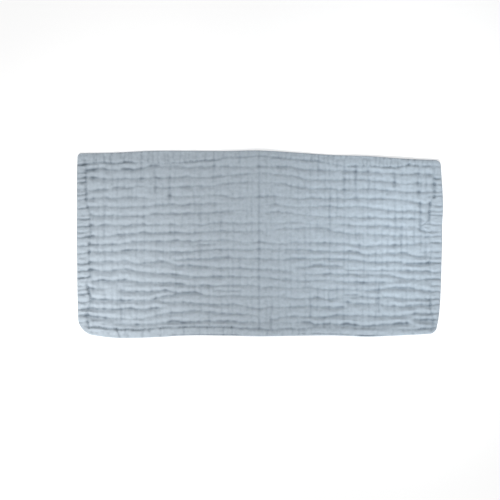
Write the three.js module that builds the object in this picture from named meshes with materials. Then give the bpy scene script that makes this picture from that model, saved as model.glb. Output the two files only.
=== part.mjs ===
// A burp cloth: six layers of cotton gauze woven together in cells, with its edges turned in and
// stitched, lying flat after it was folded once across the middle. The cloth is one solid, a sheet a
// few millimetres thick with its long creases, its hem and its middle fold in the surface.
// Millimetres. X runs along the cloth, Y across it and Z up. The origin is on the surface that the
// cloth lies on, under the middle of its outline.

import * as THREE from "three";

// Thickness of the cloth, over the surface that its underside follows
const CREST = 4.1; // on top of a rib
const HEM_EDGE = 3.0; // of the folded edge
const EDGE_ROUNDING = 1.1; // how far in the folded edge is rounded over

// Troughs: the half width is where a trough has come up to half its depth
const CREASE_HALF = 2.1;
const HEM_LINE_HALF = 1.7;
const HEM_LINE_DEPTH = 1.5;
const CREASE_FADE = 14; // length over which a crease runs out at its ends
const BEYOND = 300; // where the ends of a crease lie that runs from edge to edge
const GAP_HALF = 7; // of a break within a crease

// A crease also wanders about its table by about a millimetre
const WANDER = [
  { reach: 0.7, length: 5.7, shift: 2.3 },
  { reach: 0.5, length: 12.5, shift: 4.1 },
];

// The fold across the middle stands up as a low tent with a narrow groove along its top
const FOLD = { x: -1, height: 3.2, spread: 34, cutOff: 0.35, groove: 1.2, grooveHalf: 2.4 };

// Outline, read at even stations along each side
const X_FIRST = -250;
const X_STEP = 50;
const Y_FIRST = -125;
const Y_STEP = 25;
const SIDES = {
  top: [125.4, 126.3, 128.7, 128.9, 128.6, 129.2, 126.4, 123, 121.4, 117.8, 116],
  bottom: [-125, -130.6, -130, -127.3, -127.4, -128.3, -127.7, -127.2, -128.8, -126.8, -124.5],
  left: [-251.5, -251.8, -252.6, -253, -253.2, -253.5, -253.6, -253.3, -253.4, -253.2, -252.5],
  right: [244, 248.2, 250.3, 251.3, 252, 252.8, 252.8, 254, 253.2, 251.5, 250],
};
const CORNERS = [
  { side: "left", end: "bottom", radius: 22 },
  { side: "left", end: "top", radius: 6 },
  { side: "right", end: "bottom", radius: 9 },
  { side: "right", end: "top", radius: 8 },
];

// The stitched line of the hem on each side, at the same stations
const HEM = {
  top: [111, 111.5, 111.5, 114, 118.3, 122, 116.8, 110.5, 108, 107.5, 107.5],
  bottom: [-115.5, -117.8, -117, -114.5, -115, -116.5, -117.5, -118, -120.5, -118, -116],
  left: [-237.5, -237.5, -236, -238, -235.5, -235.5, -235.5, -237.5, -239, -239.5, -239],
  right: [240, 239.5, 237, 238, 239, 238.5, 234, 235.5, 241.5, 242, 242],
};

// How far the cloth stands off the surface along its length, apart from the fold, and the share by
// which its rise varies across it
const LIFT = [0, 0.4, 0, 0, 0, 0, 0, 0.3, 1.5, 2.6, 0];
const SWAY = { share: 0.15, length: 31 };

// Long creases from the top of the cloth to the bottom: Y at each station along X, depth, the stretch
// of X in which the crease is deep, and the places where it breaks.
const CREASES = [
  { y: [101, 101.5, 107, 105.5, 106, 107, 105, 101, 99, 97, 96], depth: 1.8, gaps: [-158] },
  { y: [91, 90, 90, 91.5, 94, 97, 93, 88.5, 87.5, 83, 82], depth: 1.5, gaps: [-5] },
  { y: [75, 77.5, 78, 78.5, 83, 86, 79, 76.5, 75, 71.5, 71], depth: 1.4, gaps: [2] },
  { y: [61, 62.5, 63.5, 65, 66, 65, 62, 62.5, 62, 60, 55], depth: 1.6, gaps: [-150] },
  { y: [50, 51, 52, 53.5, 56, 54, 51, 52, 50, 45, 46], depth: 1.5, gaps: [-30, 12] },
  { y: [36, 38.5, 40, 41.5, 45, 46, 41, 37.5, 36.5, 35, 31], depth: 1.6, gaps: [-8] },
  { y: [24, 26, 27, 26.5, 29, 28.5, 29, 27, 24.5, 22, 18], depth: 1.7, gaps: [18, 75] },
  { y: [8.5, 9.5, 14.5, 14.5, 17.5, 16.5, 19, 19, 13, 10.5, 11], depth: 1.9, gaps: [28] },
  { y: [-3, 0, 3, 3.5, 4.5, 2.5, 1, 1, -3, -1.5, 1.5], depth: 1.6, gaps: [-14] },
  { y: [-14, -11, -11, -12, -8, -7.5, -8.5, -11, -16, -14, -12], depth: 1.7, gaps: [] },
  { y: [-29, -26, -25, -22.5, -20, -20.5, -20.5, -22, -26, -27, -26], depth: 1.9, gaps: [-187] },
  { y: [-32, -30, -30, -31.5, -34.5, -35, -34.5, -31, -37.5, -38.5, -41], depth: 1.6, from: -128, gaps: [] },
  { y: [-35, -34, -35, -38, -40.5, -40.5, -42, -42.5, -43.5, -48, -48.5], depth: 1.5, from: 55, gaps: [] },
  { y: [-38, -38.5, -40, -44.5, -46.5, -46, -50, -51, -54, -54.5, -58], depth: 1.8, to: 178, gaps: [] },
  { y: [-47, -51, -54, -56.5, -58.5, -60, -61, -63.5, -64, -60.5, -67], depth: 1.7, gaps: [-97] },
  { y: [-61, -65.5, -66.5, -67.5, -73.5, -73.5, -75, -77, -74.5, -77, -78], depth: 1.7, gaps: [122] },
  { y: [-74, -79, -78, -72.5, -79, -82, -81.5, -82.5, -79.5, -82.5, -81.5], depth: 1.8, to: -95, gaps: [] },
  { y: [-82, -85.5, -83.5, -82, -84.5, -90, -88, -88, -84.5, -88, -85], depth: 1.6, from: -145, gaps: [127] },
  { y: [-90, -92, -90, -88.5, -90.5, -95, -94.5, -94.5, -92, -94, -91.5], depth: 1.8, to: -128, gaps: [] },
  { y: [-99.5, -104, -101.5, -95.5, -97, -100.5, -101.5, -101, -100, -100, -98], depth: 1.9, gaps: [3] },
  { y: [-108, -111, -112, -109, -108, -109.5, -109.5, -110.5, -115, -110, -106], depth: 1.8, gaps: [30] },
];

// How finely the surface is divided
const RIB_ROWS = 4; // rows of points from one crease to the next
const HALF_COLUMNS = 17; // columns of points from the fold to the hem line, each way
const BESIDE_FOLD = 0.02; // share of that way at which one more column holds the groove's edge
const UNDER_COLUMNS = 16;
const UNDER_ROWS = 8;
const UNDER_INSET = { x: 24, y: 22 };
const LENGTH_TO_WIDTH = 2;
const CROSSING_PASSES = 6; // rounds in which a crossing of two nearly straight lines is found

const { clamp, lerp, smoothstep } = THREE.MathUtils;

// A smooth curve through values at even stations, held level beyond its ends.
function along(values, first, step, at) {
  const last = values.length - 1;
  const place = clamp((at - first) / step, 0, last);
  const i = Math.min(Math.floor(place), last - 1);
  const t = place - i;
  const [a, b, c, d] = [-1, 0, 1, 2].map((k) => values[clamp(i + k, 0, last)]);
  return 0.5 * (2 * b + t * (c - a + t * (2 * a - 5 * b + 4 * c - d + t * (3 * b - a - 3 * c + d))));
}

const alongX = (values, x) => along(values, X_FIRST, X_STEP, x);
const alongY = (values, y) => along(values, Y_FIRST, Y_STEP, y);

function creaseY(index, x) {
  const wave = (sum, { reach, length, shift }) => sum + reach * Math.sin(x / length + shift * index);
  return WANDER.reduce(wave, alongX(CREASES[index].y, x));
}

// 1 where a crease is deep, and 0 beyond its ends and in its breaks.
function presence({ from = -BEYOND, to = BEYOND, gaps }, x) {
  const starts = smoothstep(x, from - CREASE_FADE, from + CREASE_FADE);
  const stops = 1 - smoothstep(x, to - CREASE_FADE, to + CREASE_FADE);
  const whole = (gap) => 1 - Math.exp(-(((x - gap) / GAP_HALF) ** 2));
  return gaps.reduce((share, gap) => share * whole(gap), starts * stops);
}

const trough = (distance, half) => 1 / (1 + (distance / half) ** 2);

// Height of the underside: nought where the cloth lies on the surface.
function underside(x, y) {
  const tent = FOLD.height * Math.exp(-Math.abs(x - FOLD.x) / FOLD.spread) - FOLD.cutOff;
  const sway = 1 - SWAY.share * (1 - Math.sin(y / SWAY.length));
  return (Math.max(0, tent) + Math.max(0, alongX(LIFT, x))) * sway;
}

// Height of the top, with every trough taken out of the ribs' crests.
function topside(x, y) {
  let troughs = FOLD.groove * trough(x - FOLD.x, FOLD.grooveHalf);
  CREASES.forEach((crease, index) => {
    troughs += crease.depth * presence(crease, x) * trough(y - creaseY(index, x), CREASE_HALF);
  });
  const fromTopOrBottom = [HEM.top, HEM.bottom].map((line) => Math.abs(y - alongX(line, x)));
  const fromSides = [HEM.left, HEM.right].map((line) => Math.abs(x - alongY(line, y)));
  const nearest = Math.min(...fromTopOrBottom, ...fromSides);
  troughs += HEM_LINE_DEPTH * trough(nearest, HEM_LINE_HALF);
  return underside(x, y) + CREST - troughs;
}

// A point moved in from a square corner of the outline to its rounded one.
function roundCorner([x, y]) {
  for (const { side, end, radius } of CORNERS) {
    const [edgeX, edgeY] = [alongY(SIDES[side], y), alongX(SIDES[end], x)];
    const [inX, inY] = [side === "left" ? 1 : -1, end === "bottom" ? 1 : -1];
    const [p, q] = [radius - (x - edgeX) * inX, radius - (y - edgeY) * inY];
    if (p > 0 && q > 0) {
      const share = Math.max(p, q) / Math.hypot(p, q);
      return [edgeX + (radius - p * share) * inX, edgeY + (radius - q * share) * inY];
    }
  }
  return [x, y];
}

// Rows of points run along the creases and columns across them. Each is a curve: a row gives Y at an X
// and a column gives X at a Y.
function makeRows() {
  const hemRows = (edge, line, inwards) => [
    (x) => alongX(edge, x),
    (x) => alongX(edge, x) + EDGE_ROUNDING * inwards,
    (x) => lerp(alongX(edge, x), alongX(line, x), 0.5),
  ];
  const lines = [(x) => alongX(HEM.bottom, x)];
  for (let index = CREASES.length - 1; index >= 0; index -= 1) lines.push((x) => creaseY(index, x));
  lines.push((x) => alongX(HEM.top, x));
  const ribs = [];
  for (let i = 0; i < lines.length - 1; i += 1) {
    for (let k = 0; k < RIB_ROWS; k += 1) ribs.push((x) => lerp(lines[i](x), lines[i + 1](x), k / RIB_ROWS));
  }
  const bottom = hemRows(SIDES.bottom, HEM.bottom, 1);
  const top = hemRows(SIDES.top, HEM.top, -1).reverse();
  return [...bottom, ...ribs, lines.at(-1), ...top];
}

function makeColumns() {
  const hemColumns = (edge, line, inwards) => [
    (y) => alongY(edge, y),
    (y) => alongY(edge, y) + EDGE_ROUNDING * inwards,
    (y) => lerp(alongY(edge, y), alongY(line, y), 0.5),
  ];
  const half = [BESIDE_FOLD];
  for (let k = 1; k <= HALF_COLUMNS; k += 1) half.push(k / HALF_COLUMNS);
  const toLine = (line) => half.map((share) => (y) => lerp(FOLD.x, alongY(line, y), share));
  const inner = [...toLine(HEM.left).reverse(), () => FOLD.x, ...toLine(HEM.right)];
  const left = hemColumns(SIDES.left, HEM.left, 1);
  const right = hemColumns(SIDES.right, HEM.right, -1).reverse();
  return [...left, ...inner, ...right];
}

// Where a row and a column cross.
function crossing(row, column) {
  let [x, y] = [column(0), 0];
  for (let pass = 0; pass < CROSSING_PASSES; pass += 1) {
    y = row(x);
    x = column(y);
  }
  return roundCorner([x, y]);
}

// Points and triangles of one closed surface.
class Surface {
  points = [];
  faces = [];

  add(x, y, z) {
    return this.points.push(x, y, z) / 3 - 1;
  }

  // A grid of points, given as rows from low Y to high Y, with its faces up or down.
  grid(rows, up) {
    for (let i = 0; i < rows.length - 1; i += 1) {
      for (let j = 0; j < rows[i].length - 1; j += 1) {
        const [a, b, c, d] = [rows[i][j], rows[i][j + 1], rows[i + 1][j + 1], rows[i + 1][j]];
        // The diagonal never cuts off a corner of the outline.
        const corner = (i === 0 && j === 0) || (i === rows.length - 2 && j === rows[i].length - 2);
        const pair = corner ? [[a, b, d], [b, c, d]] : [[a, b, c], [a, c, d]];
        pair.forEach((face) => this.faces.push(...(up ? face : face.reverse())));
      }
    }
  }

  // Triangles that face down between two closed rings, each anticlockwise seen from above. The rings
  // are followed together by their turn about the middle, in which the cloth's length counts as its width.
  bandUnder(outer, inner) {
    const turn = (id) => Math.atan2(this.points[3 * id + 1] * LENGTH_TO_WIDTH, this.points[3 * id]);
    const first = (ring) => ring.reduce((best, id, k) => (turn(id) < turn(ring[best]) ? k : best), 0);
    const fromFirst = (ring) => [...ring.slice(first(ring)), ...ring.slice(0, first(ring))];
    const nextTurn = (ring, at) => {
      if (at >= ring.length) return Infinity;
      return at + 1 < ring.length ? turn(ring[at + 1]) : Math.PI;
    };
    const [o, n] = [fromFirst(outer), fromFirst(inner)];
    let [i, k] = [0, 0];
    while (i < o.length || k < n.length) {
      if (nextTurn(o, i) <= nextTurn(n, k)) {
        this.faces.push(o[(i + 1) % o.length], o[i], n[k % n.length]);
        i += 1;
      } else {
        this.faces.push(n[(k + 1) % n.length], o[i % o.length], n[k]);
        k += 1;
      }
    }
  }

  geometry() {
    const made = new THREE.BufferGeometry();
    made.setAttribute("position", new THREE.Float32BufferAttribute(this.points, 3));
    made.setIndex(this.faces);
    return made;
  }
}

// The points round the edge of a grid, anticlockwise seen from above.
function rim(rows) {
  const [low, high] = [rows[0], rows.at(-1)];
  const middle = rows.slice(1, -1);
  const right = middle.map((row) => row.at(-1));
  const left = middle.map((row) => row[0]).reverse();
  return [...low, ...right, ...[...high].reverse(), ...left];
}

// The top's two outer rings of points round the hem's folded edge over: half way up it, and on it.
function clothGeometry() {
  const surface = new Surface();
  const [rows, columns] = [makeRows(), makeColumns()];
  const ringHeights = [HEM_EDGE / 2, HEM_EDGE];
  const top = rows.map((row, i) =>
    columns.map((column, j) => {
      const [x, y] = crossing(row, column);
      const ring = Math.min(i, j, rows.length - 1 - i, columns.length - 1 - j);
      const onEdge = ring < ringHeights.length;
      return surface.add(x, y, onEdge ? underside(x, y) + ringHeights[ring] : topside(x, y));
    }),
  );
  surface.grid(top, true);

  const edge = rim(top);
  const at = (id) => surface.points.slice(3 * id, 3 * id + 2);
  const reach = new THREE.Vector2(alongY(SIDES.right, 0), alongX(SIDES.top, 0));
  const foot = edge.map((id) => {
    const [x, y] = at(id);
    const [inX, inY] = [x * (1 - EDGE_ROUNDING / reach.x), y * (1 - EDGE_ROUNDING / reach.y)];
    return surface.add(inX, inY, underside(inX, inY));
  });
  for (let i = 0; i < edge.length; i += 1) {
    const k = (i + 1) % edge.length;
    surface.faces.push(edge[i], foot[i], foot[k], edge[i], foot[k], edge[k]);
  }

  const under = [];
  for (let i = 0; i <= UNDER_ROWS; i += 1) {
    const y = (reach.y - UNDER_INSET.y) * (2 * (i / UNDER_ROWS) - 1);
    under.push([]);
    for (let j = 0; j <= UNDER_COLUMNS; j += 1) {
      const x = (reach.x - UNDER_INSET.x) * (2 * (j / UNDER_COLUMNS) - 1);
      under[i].push(surface.add(x, y, underside(x, y)));
    }
  }
  surface.grid(under, false);
  surface.bandUnder(foot, rim(under));
  return surface.geometry();
}

// The cloth, moved so that the middle of its box is over the origin and it stands on Z = 0.
function makeCloth() {
  const geometry = clothGeometry();
  geometry.computeBoundingBox();
  const { min, max } = geometry.boundingBox;
  geometry.translate(-(min.x + max.x) / 2, -(min.y + max.y) / 2, -min.z);
  geometry.computeVertexNormals();
  const gauze = new THREE.MeshStandardMaterial({ color: 0xa9b5bf, roughness: 0.95, metalness: 0 });
  const mesh = new THREE.Mesh(geometry, gauze);
  mesh.name = "cloth";
  return mesh;
}

const burpCloth = new THREE.Group();
burpCloth.name = "burp_cloth";
burpCloth.add(makeCloth());

export default burpCloth;
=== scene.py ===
import functools
import math

import bmesh
import bpy
import numpy as np
from mathutils import Matrix, Vector


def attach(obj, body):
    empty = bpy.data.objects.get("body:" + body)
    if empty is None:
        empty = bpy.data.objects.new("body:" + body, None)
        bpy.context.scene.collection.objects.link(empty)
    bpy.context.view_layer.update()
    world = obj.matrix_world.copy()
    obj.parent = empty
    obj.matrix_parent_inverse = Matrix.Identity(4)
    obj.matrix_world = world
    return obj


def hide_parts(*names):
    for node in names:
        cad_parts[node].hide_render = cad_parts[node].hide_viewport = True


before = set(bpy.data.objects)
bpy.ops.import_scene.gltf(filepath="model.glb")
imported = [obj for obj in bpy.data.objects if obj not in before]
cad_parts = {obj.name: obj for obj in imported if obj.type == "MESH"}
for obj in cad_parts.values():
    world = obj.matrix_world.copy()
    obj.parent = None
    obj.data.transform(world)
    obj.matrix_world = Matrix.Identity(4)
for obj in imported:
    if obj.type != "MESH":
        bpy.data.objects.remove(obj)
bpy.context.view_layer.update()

MM = 0.001

# The tables below are in millimetres, read from the middle of the cloth: X along it, Y across it. How
# deep a crease, thread, line or gather is, is given as a share of a plain one.

# Outline at even stations along each side
X_STATIONS = np.arange(-250, 251, 50)
Y_STATIONS = np.arange(-125, 126, 25)
SIDES = {
    "top": [125.4, 126.3, 128.7, 128.9, 128.6, 129.2, 126.4, 123.0, 121.4, 117.8, 116.0],
    "bottom": [-125.0, -130.6, -130.0, -127.3, -127.4, -128.3, -127.7, -127.2, -128.8, -126.8, -124.5],
    "left": [-251.5, -251.8, -252.6, -253.0, -253.2, -253.5, -253.6, -253.3, -253.4, -253.2, -252.5],
    "right": [244.0, 248.2, 250.3, 251.3, 252.0, 252.8, 252.8, 254.0, 253.2, 251.5, 250.0],
}

# The stitched line of the hem: place along its side, place across it and, where it isn't 1, its depth
HEM = {
    "top": [(-252, 109, 1.3), (-246, 110, 1.6), (-240, 110.5, 2.4), (-236, 111, 1.1), (-229, 111.3, 1.1),
            (-222, 113, 1.5), (-217, 113, 1.2), (-213, 112, 2.3), (-207, 111.2, 2.3), (-203, 111.2, 1.6),
            (-198, 111.5, 1.2), (-193, 111.7, 1.5), (-188, 113, 2), (-183, 113.7, 2.3), (-177, 112.5, 1.6),
            (-171, 112, 0.9), (-165, 112, 0.6), (-150, 111.5, 0.4), (-130, 111, 0.5), (-120, 112, 1),
            (-110, 112, 0.9), (-103, 113.3, 1.3), (-97, 113.7, 1.5), (-90, 114, 1.4), (-84, 114.8, 1.8),
            (-78, 115.5, 1.6), (-66, 115.7, 1.6), (-60, 116, 1.5), (-55, 117.7, 1.2), (-49, 119.5, 1.4),
            (-42, 120, 0.9), (-30, 120.2, 1.2), (-20, 120.2, 0.9), (-11, 121.5, 1), (0, 122, 0.7),
            (8, 121.5, 1.6), (14, 120.5, 0.7), (20, 119.5, 1.4), (27, 119, 1.4), (35, 118.5, 0.9),
            (42, 117.5, 1.4), (50, 117, 0.9), (57, 116.2, 0.9), (63, 115.7, 1.9), (68, 115.5, 0.8),
            (74, 115, 1.5), (81, 115, 1.5), (87, 113, 0.6), (98, 110, 0.7), (107, 109, 0.6),
            (118, 107.5, 0.6), (133, 108, 1.6), (140, 107.3, 0.7), (152, 107.5, 0.7), (163, 107, 0.7),
            (171, 106.2, 1), (176, 105.7, 1.3), (183, 106, 1.7), (188, 105.7, 1.1), (193, 106, 1.5),
            (199, 107.5, 0.8), (206, 110, 1.9), (211, 109, 0.8), (216, 108, 1.7), (222, 107.5, 0.8),
            (228, 107.5, 1.6), (233, 107.8, 1), (237, 108, 1.5), (244, 107.3, 0.9), (251, 107, 0.6)],
    "bottom": [(-246, -113.5, 0.6), (-236, -115, 1), (-230, -115, 1.6), (-225, -114.7, 2.2),
               (-219, -116, 2.5), (-214, -117, 1.5), (-210, -117.2, 2.9), (-204, -117.5, 1.8),
               (-198, -117.5, 3), (-193, -118.5, 2.2), (-187, -118.5, 2.3), (-183, -117.3, 1.6),
               (-179, -117.7, 2.2), (-173, -119, 1.7), (-166, -119, 2.2), (-161, -118.5, 2.1),
               (-156, -118, 1.1), (-150, -117.5, 1.6), (-144, -116.7, 1), (-138, -116, 1.6),
               (-131, -115.5, 2.1), (-125, -115.5, 1.2), (-118, -116, 1.1), (-112, -115.5, 1.6),
               (-105, -115, 2.1), (-98, -115, 1.6), (-91, -114.7, 2), (-85, -115, 1.6), (-76, -114.7, 1.1),
               (-70, -115, 2.2), (-66, -115, 1.8), (-59, -115, 1.5), (-51, -114.7, 1.6), (-45, -115, 1.2),
               (-38, -115, 2.1), (-33, -115.7, 1.2), (-27, -117, 1.3), (-20, -116.7, 1.1),
               (-10, -117.5, 1.1), (-1, -116.5, 1.5), (5, -117.7, 1), (11, -118.7, 1.3), (17, -119.5, 0.9),
               (25, -117.7, 0.9), (35, -117, 0.9), (45, -117, 1.3), (52, -118.5, 0.9), (60, -117, 1),
               (70, -116.7, 0.9), (80, -116, 0.7), (95, -116.5, 0.5), (115, -117.5, 0.3), (134, -118, 0.6),
               (150, -118.5, 0.5), (163, -118, 0.7), (183, -118.5, 0.6), (200, -118.5, 0.8),
               (212, -118.5, 1.3), (218, -118.5, 1.1), (222, -118, 2.3), (226, -116.7, 2.3),
               (231, -117, 1.5), (236, -117.3, 1.8), (240, -116.5, 1.7), (245, -115, 1.1)],
    "left": [(-118, -236, 1.2), (-108, -238, 1.5), (-99, -239.5, 1.2), (-90, -238, 1.2), (-82, -234.3, 1.2),
             (-75, -234.3, 1.6), (-68, -236, 2.1), (-61, -238, 1.9), (-55, -239.5, 1.5), (-50, -239, 0.6),
             (-45, -234.5), (-40, -235), (-36, -235, 1.6), (-30, -235.5, 0.7), (-26, -236, 1.3),
             (-18, -236, 0.8), (-11.5, -236, 1.7), (-6, -236, 0.7), (0, -236, 1.7), (5, -235.5, 0.7),
             (11, -235, 1.2), (16, -233.5), (20, -234, 0.8), (26, -234.5, 1.3), (32, -235, 0.6),
             (41, -234.5, 0.8), (50, -238, 0.9), (61, -240, 1.2), (69, -240, 1.3), (76, -240, 0.9),
             (85, -240.5, 1.2), (92, -240.5, 1.2), (102, -240.5, 1.2), (110, -240, 1.2), (120, -240)],
    "right": [(-115, 240), (-105, 240), (-98, 238.5), (-90, 236.5, 1.2), (-80, 236.5, 1.2),
              (-70, 236.5, 0.7), (-50, 238, 0.5), (-38, 236, 0.7), (-26, 234.5), (-12, 238, 0.7),
              (0, 238, 0.7), (10, 236, 0.7), (15, 231, 0.8), (18, 227.5), (22, 224, 1.1), (28, 226, 0.8),
              (31, 234.5, 1.1), (38, 235, 1.3), (44, 235, 1.4), (50, 236), (56, 236, 1.5), (61, 238),
              (65, 242, 1.4), (72, 242.5, 1.2), (82, 242, 1.5), (91, 241.5, 1.1), (98, 241.5, 0.9),
              (108, 242.5, 0.7)],
}
CORNER_RADII = {
    ("left", "bottom"): 22,
    ("left", "top"): 6,
    ("right", "bottom"): 9,
    ("right", "top"): 8,
}

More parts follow.
